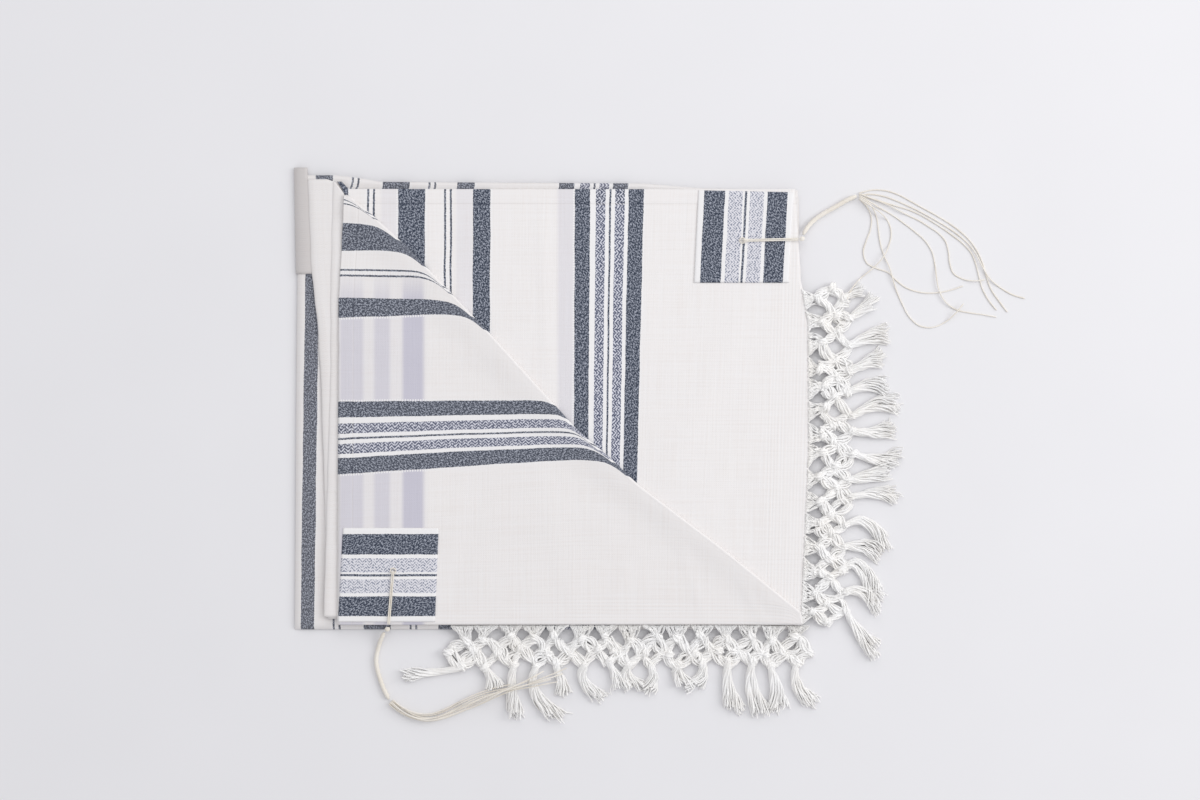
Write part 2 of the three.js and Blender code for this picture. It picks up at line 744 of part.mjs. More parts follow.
const tallit = new THREE.Group();
tallit.add(piece("hidden_layers", hiddenLayers(), COLOURS.cream));
tallit.add(piece("under_panel", underPanel(), COLOURS.cream));
tallit.add(piece("neckband", neckband(), COLOURS.white));
tallit.add(piece("middle_fold", middleFold(), COLOURS.cream));
tallit.add(piece("fold_strip", foldStrip(), COLOURS.cream));
tallit.add(piece("upper_panel", upperPanel(), COLOURS.cream));
tallit.add(piece("turned_corner", turnedCorner(), COLOURS.cream));
tallit.add(piece("upper_patch", patch(UPPER_PATCH, upperHeight), COLOURS.stripe));
tallit.add(piece("lower_patch", patch(LOWER_PATCH, turnedHeight), COLOURS.stripe));
tallit.add(piece("upper_eyelet", eyelet(UPPER_EYELET, upperHeight), COLOURS.thread));
tallit.add(piece("lower_eyelet", eyelet(LOWER_EYELET, turnedHeight), COLOURS.thread));
tallit.add(piece("right_fringe", rightFringe(), COLOURS.white));
tallit.add(piece("front_fringe", frontFringe(), COLOURS.white));
tallit.add(
  tzitzit("upper_tzitzit", {
    place: UPPER_EYELET,
    loopEnd: { x: 202.4, y: 216 },
    heightAt: upperHeight,
    knotAt: { x: 206.1, y: 216.4, z: 9.4 },
    wound: UPPER_WOUND,
    woundStart: 6.8,
    strands: UPPER_STRANDS,
  }),
);
tallit.add(
  tzitzit("lower_tzitzit", {
    place: LOWER_EYELET,
    loopEnd: { x: -214.2, y: -175.5 },
    heightAt: turnedHeight,
    knotAt: { x: -215.6, y: -180.4, z: 10.6 },
    wound: LOWER_WOUND,
    woundStart: 7.6,
    strands: lowerRoutes(),
  }),
);

export default tallit;
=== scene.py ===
"""Looks of a folded tallit: woven cloth, corner patches, knotted fringe and corner tassels."""

import logging
import math
import random
from dataclasses import dataclass, field
from enum import Enum
from typing import Callable, Sequence

import bmesh
import bpy
import numpy as np
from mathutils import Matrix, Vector, noise


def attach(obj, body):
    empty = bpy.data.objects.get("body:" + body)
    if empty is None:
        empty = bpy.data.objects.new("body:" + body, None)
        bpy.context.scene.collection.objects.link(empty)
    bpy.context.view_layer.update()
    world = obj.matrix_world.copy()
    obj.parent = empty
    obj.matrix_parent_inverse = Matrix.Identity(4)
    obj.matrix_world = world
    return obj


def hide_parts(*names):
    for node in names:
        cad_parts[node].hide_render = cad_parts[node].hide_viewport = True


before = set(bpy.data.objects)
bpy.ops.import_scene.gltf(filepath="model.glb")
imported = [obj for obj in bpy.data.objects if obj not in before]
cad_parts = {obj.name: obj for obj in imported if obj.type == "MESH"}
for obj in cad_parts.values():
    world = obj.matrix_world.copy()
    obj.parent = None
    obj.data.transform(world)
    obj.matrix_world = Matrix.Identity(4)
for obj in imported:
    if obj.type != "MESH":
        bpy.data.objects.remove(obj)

LOG = logging.getLogger("tallit")
MM = 0.001

Table = Sequence[tuple[float, float]]
Grid = np.ndarray
Colour = tuple[float, float, float, float]


# ---------------------------------------------------------------------------------------------
# How the folded cloth lies, in millimetres. The same rules shape the solids of the frame.


@dataclass(frozen=True)
class Lay:
    """Heights of the layers, and the creases that run through all of them."""

    wall: float = 1.0
    gap: float = 0.3
    hidden: float = 4.4
    swell: float = 0.8
    puff: float = 2.4
    puff_full: float = -250.0
    puff_end: float = -110.0

    @property
    def step(self) -> float:
        """Rise from one layer's middle to the next one's."""
        return self.wall + self.gap

    def slow_swell(self, x: Grid, y: Grid) -> Grid:
        """Slow rise and fall of cloth laid on cloth."""
        return self.swell * (0.5 + 0.5 * np.sin(x / 83 + 0.6) * np.cos(y / 61 - 0.3))

    def left_puff(self, x: Grid) -> Grid:
        """How far the folds at the left stand up."""
        share = np.clip((x - self.puff_full) / (self.puff_end - self.puff_full), 0, 1)
        return self.puff * (1 - share * share * (3 - 2 * share))

    def under(self, x: Grid, y: Grid) -> Grid:
        """Middle of the other end's panel."""
        return self.hidden + self.gap + self.wall / 2 + self.slow_swell(x, y)

    def middle(self, x: Grid, y: Grid) -> Grid:
        """Middle of the broad fold's cloth."""
        return self.under(x, y) + self.step + self.left_puff(x)

    def upper(self, x: Grid, y: Grid) -> Grid:
        """Middle of the upper panel."""
        return self.middle(x, y) + self.step


LAY = Lay()


@dataclass(frozen=True)
class Crease:
    """A soft trough or ridge between two places, in millimetres."""

    start: tuple[float, float]
    end: tuple[float, float]
    width: float
    height: float

    def at(self, x: Grid, y: Grid) -> Grid:
        """Height that the crease adds at each place.

        Args:
            x: Places across.
            y: Places towards the back.

        Returns:
            The added height, in millimetres.
        """
        (x0, y0), (x1, y1) = self.start, self.end
        length = math.hypot(x1 - x0, y1 - y0)
        along = ((x - x0) * (x1 - x0) + (y - y0) * (y1 - y0)) / length**2
        beside = ((x - x0) * (y1 - y0) - (y - y0) * (x1 - x0)) / length
        fade = np.clip(np.minimum(along, 1 - along) * 4 + 0.25, 0, 1)
        return self.height * fade * np.exp(-((beside / self.width) ** 2))


# Main creases: pressed folds and soft buckles, as uneven as cloth laid by hand.
CREASES = (
    Crease((-60, 262), (-52, 60), 7, 0.45),
    Crease((150, 160), (60, -60), 16, 0.5),
    Crease((205, 60), (110, -70), 12, -0.4),
    Crease((-30, 250), (60, 90), 22, 0.4),
    Crease((-262, 110), (-60, 92), 12, 0.4),
    Crease((-262, -60), (30, -70), 18, 0.5),
    Crease((-150, -172), (-120, -20), 10, -0.35),
    Crease((-20, -172), (-70, 0), 14, 0.4),
    Crease((110, -175), (80, -90), 8, 0.45),
    Crease((168, -176), (140, -128), 6, 0.4),
    Crease((-228, 70), (-222, -76), 9, 0.3),
    Crease((10, -172), (28, -110), 6, 0.3),
)


def creases_at(x: Grid, y: Grid) -> Grid:
    """All the creases, and the cloth's own fine unevenness, at each place."""
    total = np.zeros_like(x)
    for crease in CREASES:
        total += crease.at(x, y)
    fine = np.array(
        [noise.noise(Vector((a / 34, b / 34, 2.7))) + 0.4 * noise.noise(Vector((a / 11, b / 11, 9.1)))
         for a, b in zip(x.ravel(), y.ravel())]
    ).reshape(x.shape)
    return total + 0.28 * fine


def edge_at(table: Table, y: Grid) -> Grid:
    """Side edge at each place along the cloth, from a table of (along, across) rows."""
    rows = np.array(table)
    return np.interp(y, rows[:, 0], rows[:, 1])


UNDER_LEFT: Table = ((-181, -310.3), (90, -308.6), (180, -307.6), (288, -309.6))
MIDDLE_LEFT: Table = (
    (-168, -276), (-94, -278), (64, -283), (136, -287), (181, -292.5), (204, -293.7), (284, -297),
)
UNDER_BACK: Table = (
    (-312, 281.5), (-267, 281.2), (-246, 278.6), (-222, 274.6), (-145, 274), (45, 273), (105, 268),
    (204, 266),
)
FOLD_BACK: Table = ((-300, 277), (-276, 277), (-268, 273.6), (-258, 260), (-250, 256), (206, 256))
UPPER_BACK: Table = ((-270, 274.6), (-262, 274.6), (-257, 269), (-254, 267), (206, 267))
NECK_RIGHT: Table = ((181, -286), (262, -290), (277, -297), (289.2, -299))
UPPER_LEFT: Table = (
    (-168, -255.5), (200, -253.5), (240, -257.6), (258, -256.7), (261, -257.4), (267, -261.6),
    (274.6, -266.8),
)
STRIP_LEFT: Table = ((-168, -280), (93, -273), (155, -273.5), (270, -270.8))
STRIP_RIGHT: Table = ((-168, -256), (200, -254), (240, -258.8), (270, -259.2))
UPPER_RIGHT: Table = ((-168, 206), (0, 213.5), (130, 213), (175, 205), (267, 199))
TURNED_LEFT: Table = ((-176, -266.5), (154, -265.2), (204, -262.2), (256, -259.4))
DIAGONAL: Table = (
    (-176, 205.5), (-164, 203), (-99, 122.9), (-35, 38.2), (-6, 7.5), (21, -24),
    (120, -113.9), (188, -179), (213, -203.7), (239, -232.1), (256, -252), (262, -259),
)
OUTWARD = np.array((0.69, 0.72, 0.0))
BACK_BEND = 250.0


def towards_back(y: float, furthest: float, back: Grid) -> Grid:
    """A row's places where its back edge isn't straight; rows in front of the bend keep theirs."""
    if y <= BACK_BEND:
        return np.full_like(back, y)
    return BACK_BEND + (y - BACK_BEND) * (back - BACK_BEND) / (furthest - BACK_BEND)


# ---------------------------------------------------------------------------------------------
# Woven stripes. Flat places are measured from the fringed edge.


class Weave(Enum):
    """Kinds of weave in the cloth."""

    SLATE = "slate"
    MESH = "mesh"
    WHITE = "white"
    PICOT = "picot"


@dataclass(frozen=True)
class Band:
    """One woven band, from start to end in millimetres."""

    weave: Weave
    start: float
    end: float


def main_band(start: float) -> list[Band]:
    """The broad band: two slate stripes round two lavender ones and a thin slate line."""
    widths = (
        (Weave.PICOT, 1.4), (Weave.SLATE, 15.6), (Weave.WHITE, 4.6), (Weave.MESH, 9.6), (Weave.WHITE, 4.4),
        (Weave.SLATE, 1.9), (Weave.WHITE, 4.6), (Weave.MESH, 9.4), (Weave.WHITE, 5.0), (Weave.SLATE, 15.8),
        (Weave.PICOT, 1.4),
    )
    bands, place = [], start - widths[0][1]
    for weave, width in widths:
        bands.append(Band(weave, place, place + width))
        place += width
    return bands


def stripe_group(start: float) -> list[Band]:
    """Three slate stripes with a pair of thin lines between them."""
    places = (
        (0, 17.3), (40.0, 41.9), (45.4, 47.3), (66.3, 94.8), (118.4, 120.3), (123.5, 125.4), (145, 162),
    )
    bands = []
    for begin, end in places:
        bands.append(Band(Weave.PICOT, start + begin - 1.3, start + begin))
        bands.append(Band(Weave.SLATE, start + begin, start + end))
        bands.append(Band(Weave.PICOT, start + end, start + end + 1.3))
    return bands


BODY_BANDS = tuple(main_band(156.5) + stripe_group(313.2))
PATCH_BANDS = (
    Band(Weave.WHITE, 0, 6.2), Band(Weave.SLATE, 6.2, 27.2), Band(Weave.WHITE, 27.2, 31),
    Band(Weave.MESH, 31, 45.4), Band(Weave.WHITE, 45.4, 47.5), Band(Weave.SLATE, 47.5, 49.7),
    Band(Weave.WHITE, 49.7, 52.8), Band(Weave.MESH, 52.8, 67), Band(Weave.WHITE, 67, 70.6),
    Band(Weave.SLATE, 70.6, 91), Band(Weave.WHITE, 91, 100),
)


# ---------------------------------------------------------------------------------------------
# Shader helpers


class Graph:
    """A node tree with short ways to add nodes and join them."""

    def __init__(self, tree: bpy.types.NodeTree) -> None:
        """Keep the tree."""
        self.tree = tree

    def node(self, kind: str, **settings: object) -> bpy.types.Node:
        """Add a node of a kind, with its settings."""
        made = self.tree.nodes.new(kind)
        for name, value in settings.items():
            setattr(made, name, value)
        return made

    def put(self, socket: bpy.types.NodeSocket, value: object) -> None:
        """Join a socket to another one, or give it a value."""
        if isinstance(value, bpy.types.NodeSocket):
            self.tree.links.new(value, socket)
        elif value is not None:
            socket.default_value = value

    def math(
        self, operation: str, a: object, b: object = None, c: object = None, clamp: bool = False
    ) -> object:
        """Add a Math node.

        Args:
            operation: Blender's name of the operation.
            a: First value or socket.
            b: Second value or socket.
            c: Third value or socket.
            clamp: Keep the result between 0 and 1.

        Returns:
            The node's value socket.
        """
        made = self.node("ShaderNodeMath", operation=operation, use_clamp=clamp)
        for socket, value in zip(made.inputs, (a, b, c)):
            self.put(socket, value)
        return made.outputs[0]

    def times(self, a: object, b: object) -> object:
        """The product of two values."""
        return self.math("MULTIPLY", a, b)

    def plus(self, a: object, b: object) -> object:
        """The sum of two values."""
        return self.math("ADD", a, b)

    def minus(self, a: object, b: object) -> object:
        """The first value less the second."""
        return self.math("SUBTRACT", a, b)

    def linear(self, a: object, by: object, plus: object, clamp: bool = False) -> object:
        """A value times another, plus a third."""
        return self.math("MULTIPLY_ADD", a, by, plus, clamp)

    def mix(self, share: object, a: object, b: object) -> object:
        """Mix two colours, and return the mixed colour's socket."""
        made = self.node("ShaderNodeMix", data_type="RGBA")
        self.put(made.inputs[0], share)
        self.put(made.inputs[6], a)
        self.put(made.inputs[7], b)
        return made.outputs[2]

    def noise(self, vector: object, scale: float, detail: float = 2.0) -> object:
        """Add a noise texture over a vector, and return its value socket."""
        made = self.node("ShaderNodeTexNoise")
        self.put(made.inputs["Vector"], vector)
        self.put(made.inputs["Scale"], scale)
        self.put(made.inputs["Detail"], detail)
        return made.outputs["Fac"]

    def combine(self, x: object, y: object, z: object = 0.0) -> object:
        """Join three values into a vector."""
        made = self.node("ShaderNodeCombineXYZ")
        for socket, value in zip(made.inputs, (x, y, z)):
            self.put(socket, value)
        return made.outputs[0]

    def wave(self, value: object, period: float) -> object:
        """A sine of a length in metres, with a period in millimetres."""
        return self.math("SINE", self.times(value, 2 * math.pi / (period * MM)))

    def bands(self, place: object, bands: Sequence[Band], weave: Weave, width: float) -> object:
        """Mask of the bands of one weave.

        Args:
            place: Flat place across the bands, in metres.
            bands: All the bands.
            weave: The weave to show.
            width: Width of the whole pattern, in millimetres.

        Returns:
            A socket that is 1 on those bands and 0 elsewhere.
        """
        chosen = sorted((band for band in bands if band.weave is weave), key=lambda band: band.start)
        share = self.math("DIVIDE", place, width * MM)
        total: object = 0.0
        for first in range(0, len(chosen), 12):
            total = self.math("MAXIMUM", total, self.ramp(share, chosen[first : first + 12], width))
        return total

    def ramp(self, share: object, bands: Sequence[Band], width: float) -> object:
        """Mask of a few bands, by a ramp with sharp stops."""
        ramp = self.node("ShaderNodeValToRGB")
        self.put(ramp.inputs[0], share)
        stops = ramp.color_ramp
        stops.interpolation = "CONSTANT"
        stops.elements.remove(stops.elements[1])
        stops.elements[0].position, stops.elements[0].color = 0.0, (0, 0, 0, 1)
        for band in bands:
            stops.elements.new(max(band.start / width, 0.0005)).color = (1, 1, 1, 1)
            stops.elements.new(band.end / width).color = (0, 0, 0, 1)
        return ramp.outputs[0]


def group_tree(name: str, inputs: dict[str, str], outputs: dict[str, str]) -> tuple[Graph, object, object]:
    """Start a shader node group.

    Args:
        name: The group's name.
        inputs: Socket types by name.
        outputs: Socket types by name.

    Returns:
        The graph, and the group's input and output nodes.
    """
    tree = bpy.data.node_groups.new(name, "ShaderNodeTree")
    for label, kind in inputs.items():
        tree.interface.new_socket(name=label, in_out="INPUT", socket_type=kind)
    for label, kind in outputs.items():
        tree.interface.new_socket(name=label, in_out="OUTPUT", socket_type=kind)
    graph = Graph(tree)
    return graph, graph.node("NodeGroupInput"), graph.node("NodeGroupOutput")


FLOAT, WHOLE = "NodeSocketFloat", "NodeSocketInt"
VECTOR, COLOUR = "NodeSocketVector", "NodeSocketColor"


@dataclass(frozen=True)
class Tones:
    """Colours of the yarns, in linear light."""

    cream: Colour = (0.845, 0.795, 0.765, 1)
    white: Colour = (0.875, 0.865, 0.865, 1)
    shadow: Colour = (0.70, 0.655, 0.62, 1)
    slate: Colour = (0.036, 0.047, 0.074, 1)
    slate_light: Colour = (0.36, 0.385, 0.45, 1)
    mesh: Colour = (0.085, 0.098, 0.160, 1)
    mesh_light: Colour = (0.72, 0.73, 0.80, 1)
    patch_mesh: Colour = (0.20, 0.225, 0.30, 1)
    patch_mesh_light: Colour = (0.76, 0.755, 0.80, 1)
    ghost: Colour = (0.50, 0.49, 0.60, 1)
    wool: Colour = (0.975, 0.97, 0.965, 1)
    # Painted shade: cloth that lies low or turns from the light is mixed towards this grey-beige tone.
    painted_shade_tone: Colour = (0.50, 0.465, 0.45, 1)
    wool_shade: Colour = (0.93, 0.90, 0.85, 1)
    thread: Colour = (0.88, 0.84, 0.77, 1)
    thread_shade: Colour = (0.74, 0.67, 0.56, 1)


TONES = Tones()


@dataclass(frozen=True)
class WovenBands:
    """Shader group for a striped cloth: it gives colour, height and roughness from a flat place."""

    name: str
    bands: tuple[Band, ...]
    width: float
    mesh: tuple[Colour, Colour]
    mesh_share: float
    thread: float = 0.95
    zigzag: float = 6.8
    dash: float = 3.2
    hem: float = 16.0
    ribbed: float = 28.0
    rib_pitch: float = 3.4
    fleck_scale: float = 480.0
    twill_scale: float = 690.0

    def build(self) -> bpy.types.NodeTree:
        """Build the group.

        Returns:
            The node tree, with inputs Flat, Ghost and Hemmed, and outputs Colour, Height and Roughness.
        """
        graph, given, result = group_tree(
            self.name,
            {"Flat": VECTOR, "Ghost": FLOAT, "Hemmed": FLOAT},
            {"Colour": COLOUR, "Height": FLOAT, "Roughness": FLOAT},
        )
        flat = given.outputs["Flat"]
        split = graph.node("ShaderNodeSeparateXYZ")
        graph.put(split.inputs[0], flat)
        across, along = split.outputs[0], split.outputs[1]
        fleck = graph.noise(flat, self.fleck_scale, 2)
        slub = self.slub(graph, across, along)
        slate, mesh, white, picot = self.masks(graph, flat, across, along)
        hemmed, stitch = self.hem_masks(graph, along, given.outputs["Hemmed"])
        in_ribs = graph.math("LESS_THAN", graph.math("ABSOLUTE", across), self.ribbed * MM)
        rib = graph.times(graph.wave(across, self.rib_pitch), in_ribs)

        colour = self.cream(graph, slub, rib)
        colour = graph.mix(graph.times(given.outputs["Ghost"], 0.62), colour, TONES.ghost)
        colour = graph.mix(graph.math("MAXIMUM", white, picot), colour, TONES.white)
        lit = self.mesh_weave(graph, fleck, across, along)
        dark_mesh = graph.mix(graph.times(hemmed, 0.5), self.mesh[0], TONES.slate)
        colour = graph.mix(mesh, colour, graph.mix(lit, dark_mesh, self.mesh[1]))
        salt = self.twill(graph, fleck, across, along)
        # Painted shade: along the line of stitches the slate's light flecks are dimmed and the colour is
        # mixed towards the shadow tone, as shade in the stitched groove.
        salt = graph.times(salt, graph.minus(1.0, graph.times(stitch, 0.8)))
        colour = graph.mix(slate, colour, graph.mix(salt, TONES.slate, TONES.slate_light))
        sewn = graph.times(stitch, graph.linear(slate, -1.0, 0.30, clamp=True))
        graph.put(result.inputs["Colour"], graph.mix(sewn, colour, TONES.shadow))

        plain = graph.times(graph.wave(across, self.thread * 2), graph.wave(along, self.thread * 2))
        height = graph.linear(plain, 0.22, graph.times(slub, 1.6))
        height = graph.plus(height, graph.times(slate, graph.times(salt, 0.9)))
        height = graph.plus(height, graph.times(mesh, graph.times(lit, 0.5)))
        height = graph.linear(rib, 0.35, graph.minus(height, stitch))
        graph.put(result.inputs["Height"], height)
        graph.put(result.inputs["Roughness"], graph.minus(0.86, graph.times(white, 0.2)))
        return graph.tree

    def cream(self, graph: Graph, slub: object, rib: object) -> object:
        """Colour of the plain cloth, by the unevenness of its threads and its ribs."""
        shade = graph.linear(slub, 0.6, graph.linear(rib, 0.14, 0.38), clamp=True)
        cream = graph.mix(shade, TONES.white, TONES.cream)
        return graph.mix(graph.times(graph.math("MAXIMUM", slub, 0.0), 0.32), cream, TONES.shadow)

    def mesh_weave(self, graph: Graph, fleck: object, across: object, along: object) -> object:
        """Share of light thread in the lavender weave: rows of dashes that zigzag along it."""
        fold = graph.math("PINGPONG", along, self.zigzag / 2 * MM)
        zigzag = graph.wave(graph.plus(across, fold), self.dash)
        dashes = graph.plus(zigzag, graph.times(graph.minus(fleck, 0.5), 8.0))
        return graph.linear(dashes, 0.6, self.mesh_share, clamp=True)

    def twill(self, graph: Graph, fleck: object, across: object, along: object) -> object:
        """Share of light thread in the slate weave: short slanting flecks."""
        slant = graph.combine(graph.linear(along, 0.8, across), graph.times(graph.minus(along, across), 0.5))
        twill = graph.noise(slant, self.twill_scale, 1)
        return graph.linear(graph.minus(twill, 0.5), 5.6, graph.linear(fleck, 1.6, -0.55), clamp=True)

    def slub(self, graph: Graph, across: object, along: object) -> object:
        """Unevenness of the warp and weft threads, about nought."""
        warp = graph.noise(graph.combine(graph.times(across, 42), along), 13, 3)
        weft = graph.noise(graph.combine(across, graph.times(along, 42)), 13, 3)
        return graph.minus(graph.plus(warp, weft), 1.0)

    def masks(self, graph: Graph, flat: object, across: object, along: object) -> tuple[object, ...]:
        """Masks of the slate, mesh, white and picot bands, with edges as uneven as threads."""
        jitter = graph.times(graph.minus(graph.noise(flat, 900, 1), 0.5), 0.0013)
        slow = graph.times(graph.minus(graph.noise(flat, 30, 1), 0.5), 0.0014)
        place = graph.plus(graph.plus(across, jitter), slow)
        slate, mesh, white, picot = (graph.bands(place, self.bands, weave, self.width) for weave in Weave)
        dotted = graph.linear(graph.wave(along, 2.6), 2.0, 0.9, clamp=True)
        return slate, mesh, white, graph.times(picot, dotted)

    def hem_masks(self, graph: Graph, along: object, hemmed: object) -> tuple[object, object]:
        """Masks of the hem's double cloth, and of its line of stitches."""
        inside = graph.times(graph.math("LESS_THAN", along, self.hem * MM), hemmed)
        away = graph.math("ABSOLUTE", graph.minus(along, (self.hem - 1.0) * MM))
        line = graph.linear(away, -1 / (0.9 * MM), 1.0, clamp=True)
        return inside, graph.times(line, hemmed)


@dataclass(frozen=True)
class ClothFinish:
    """Finish of a stretch of cloth: a woven group, stripes of the layer below showing through, and painted
    shade mixed in where asked.
    """

    name: str
    weave: bpy.types.NodeTree
    ghosts: tuple[tuple[float, float, float], ...] = ()
    ghost_below: float = 1.0
    hemmed: float = 0.0
    bump: float = 0.4
    sheen: float = 0.15
    # Share of painted shade: how far the colour is mixed towards the painted shade tone.
    painted_shade_share: float = 0.0

    def build(self) -> bpy.types.Material:
        """Build the material.

        Returns:
            A cloth material that reads the piece's own flat map.
        """
        material = bpy.data.materials.new(self.name)
        material.use_nodes = True
        graph = Graph(material.node_tree)
        shader = material.node_tree.nodes["Principled BSDF"]
        flat = graph.node("ShaderNodeUVMap", uv_map="flat").outputs[0]
        woven = graph.node("ShaderNodeGroup", node_tree=self.weave)
        graph.put(woven.inputs["Flat"], flat)
        woven.inputs["Hemmed"].default_value = self.hemmed
        if self.ghosts:
            graph.put(woven.inputs["Ghost"], self.ghost(graph))
        # Painted shade: the woven colour is mixed towards the painted shade tone by its share.
        graph.put(shader.inputs["Base Color"], graph.mix(self.painted_shade_share, woven.outputs["Colour"], TONES.painted_shade_tone))
        graph.put(shader.inputs["Roughness"], woven.outputs["Roughness"])
        bump = graph.node("ShaderNodeBump")
        bump.inputs["Strength"].default_value = self.bump
        bump.inputs["Distance"].default_value = 0.0004
        graph.put(bump.inputs["Height"], woven.outputs["Height"])
        graph.put(shader.inputs["Normal"], bump.outputs[0])
        shader.inputs["Sheen Weight"].default_value = self.sheen
        shader.inputs["Sheen Roughness"].default_value = 0.5
        shader.inputs["Specular IOR Level"].default_value = 0.2
        return material

    def ghost(self, graph: Graph) -> object:
        """Soft bands where the stripes of the layer below show through.

        Args:
            graph: The material's graph.

        Returns:
            A socket between 0 and 1.
        """
        place = graph.node("ShaderNodeSeparateXYZ")
        graph.put(place.inputs[0], graph.node("ShaderNodeTexCoord").outputs["Object"])
        total: object = 0.0
        for start, end, strength in self.ghosts:
            away = graph.math("ABSOLUTE", graph.minus(place.outputs[0], (start + end) / 2 * MM))
            inside = graph.minus((end - start) / 2 * MM, away)
            soft = graph.linear(inside, 1 / (4 * MM), 0.5, clamp=True)
            total = graph.linear(soft, strength, total)
        fade = graph.linear(graph.minus(self.ghost_below, place.outputs[1]), 30, 0.0, clamp=True)
        return graph.times(total, fade)


@dataclass(frozen=True)
class YarnFinish:
    """Finish of yarn or thread: soft, with the twist's fine shading."""

    name: str
    colour: Colour
    shade: Colour
    scale: float = 700.0

    def build(self) -> bpy.types.Material:
        """Build the material.

        Returns:
            A yarn material on object coordinates.
        """
        material = bpy.data.materials.new(self.name)
        material.use_nodes = True
        graph = Graph(material.node_tree)
        shader = material.node_tree.nodes["Principled BSDF"]
        place = graph.node("ShaderNodeTexCoord").outputs["Object"]
        fibre = graph.noise(place, self.scale, 3)
        patchy = graph.noise(place, 40, 2)
        share = graph.linear(graph.plus(fibre, patchy), 1.3, -1.0, clamp=True)
        graph.put(shader.inputs["Base Color"], graph.mix(share, self.colour, self.shade))
        graph.put(shader.inputs["Roughness"], graph.linear(fibre, 0.2, 0.72))
        bump = graph.node("ShaderNodeBump")
        bump.inputs["Strength"].default_value = 0.2
        bump.inputs["Distance"].default_value = 0.0002
        graph.put(bump.inputs["Height"], fibre)
        graph.put(shader.inputs["Normal"], bump.outputs[0])
        shader.inputs["Sheen Weight"].default_value = 0.6
        return material


@dataclass
class Finishes:
    """Every material of the shawl."""

    panel: bpy.types.Material = field(init=False)
    turned: bpy.types.Material = field(init=False)
    under: bpy.types.Material = field(init=False)
    band: bpy.types.Material = field(init=False)
    patch: bpy.types.Material = field(init=False)
    wool: bpy.types.Material = field(init=False)
    thread: bpy.types.Material = field(init=False)

    def __post_init__(self) -> None:
        """Build the groups once, and each material from them."""
        body = WovenBands("woven_body", BODY_BANDS, 500.0, (TONES.mesh, TONES.mesh_light), 0.33).build()
        patch_tones = (TONES.patch_mesh, TONES.patch_mesh_light)
        patch = WovenBands(
            "woven_patch", PATCH_BANDS, 100.0, patch_tones, 0.85, thread=0.8, zigzag=7.2, dash=3.0, ribbed=0.0
        ).build()
        through_panel = ((-42.5, -23.5, 0.45), (-146, -129, 0.3), (-222, -205, 0.3))
        through_turned = ((-200, -179, 1.0), (-229, -213, 0.62), (-264, -240, 0.62), (-264, -176, 0.22))
        self.panel = ClothFinish("panel_cloth", body, through_panel, hemmed=1.0).build()
        # Painted shade: the turned corner, the under cloth and, most strongly, the neckband lying in the
        # broad fold's shadow are darkened towards a grey-beige.
        self.turned = ClothFinish(
            "turned_cloth", body, through_turned, ghost_below=0.185, hemmed=1.0, painted_shade_share=0.06
        ).build()
        self.under = ClothFinish("under_cloth", body, painted_shade_share=0.12).build()
        self.band = ClothFinish("band_cloth", body, painted_shade_share=0.62).build()
        self.patch = ClothFinish("patch_cloth", patch, bump=0.5).build()
        self.wool = YarnFinish("fringe_wool", TONES.wool, TONES.wool_shade).build()
        self.thread = YarnFinish("tassel_thread", TONES.thread, TONES.thread_shade, 900.0).build()


# ---------------------------------------------------------------------------------------------
# Cloth meshes


def mesh_from_grid(name: str, points: Grid, flat: Grid) -> bpy.types.Object:
    """A sheet from a grid of points.

    Args:
        name: The piece's name.
        points: Rows by columns by 3, in millimetres.
        flat: Rows by columns by 2, flat places in millimetres.

    Returns:
        A mesh object with a map named flat, in metres.
    """
    rows, columns = points.shape[:2]
    index = np.arange(rows * columns).reshape(rows, columns)
    squares = (index[:-1, :-1], index[:-1, 1:], index[1:, 1:], index[1:, :-1])
    faces = np.stack(squares, axis=-1).reshape(-1, 4)
    mesh = bpy.data.meshes.new(name)
    mesh.from_pydata((points.reshape(-1, 3) * MM).tolist(), [], faces.tolist())
    layer = mesh.uv_layers.new(name="flat")
    places = (flat.reshape(-1, 2) * MM)[faces.reshape(-1)]
    layer.data.foreach_set("uv", places.astype(np.float32).ravel())
    mesh.polygons.foreach_set("use_smooth", [True] * len(mesh.polygons))
    piece = bpy.data.objects.new(name, mesh)
    bpy.context.scene.collection.objects.link(piece)
    return piece


def moved_out(points: Grid, distance: float) -> Grid:
    """The grid moved along its own normals by a distance."""
    across = np.gradient(points, axis=1)
    along = np.gradient(points, axis=0)
    normal = np.cross(across, along)
    normal /= np.maximum(np.linalg.norm(normal, axis=2, keepdims=True), 1e-9)
    return points + normal * distance


def place_piece(piece: bpy.types.Object, slot: str, material: bpy.types.Material, *nodes: str) -> None:
    """Give a piece its material and its body, and hide the frame's nodes that it stands for."""
    if not piece.data.materials:
        piece.data.materials.append(material)
    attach(piece, "root")
    if nodes:
        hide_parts(*nodes)
    LOG.info("%s built, %d faces", piece.name, len(piece.data.polygons))


def thicken(piece: bpy.types.Object, wall: float) -> None:
    """Give a sheet its wall, half to each side, with closed edges."""
    solid = piece.modifiers.new("wall", "SOLIDIFY")
    solid.thickness = wall * MM
    solid.offset = 0.0
    solid.use_even_offset = True


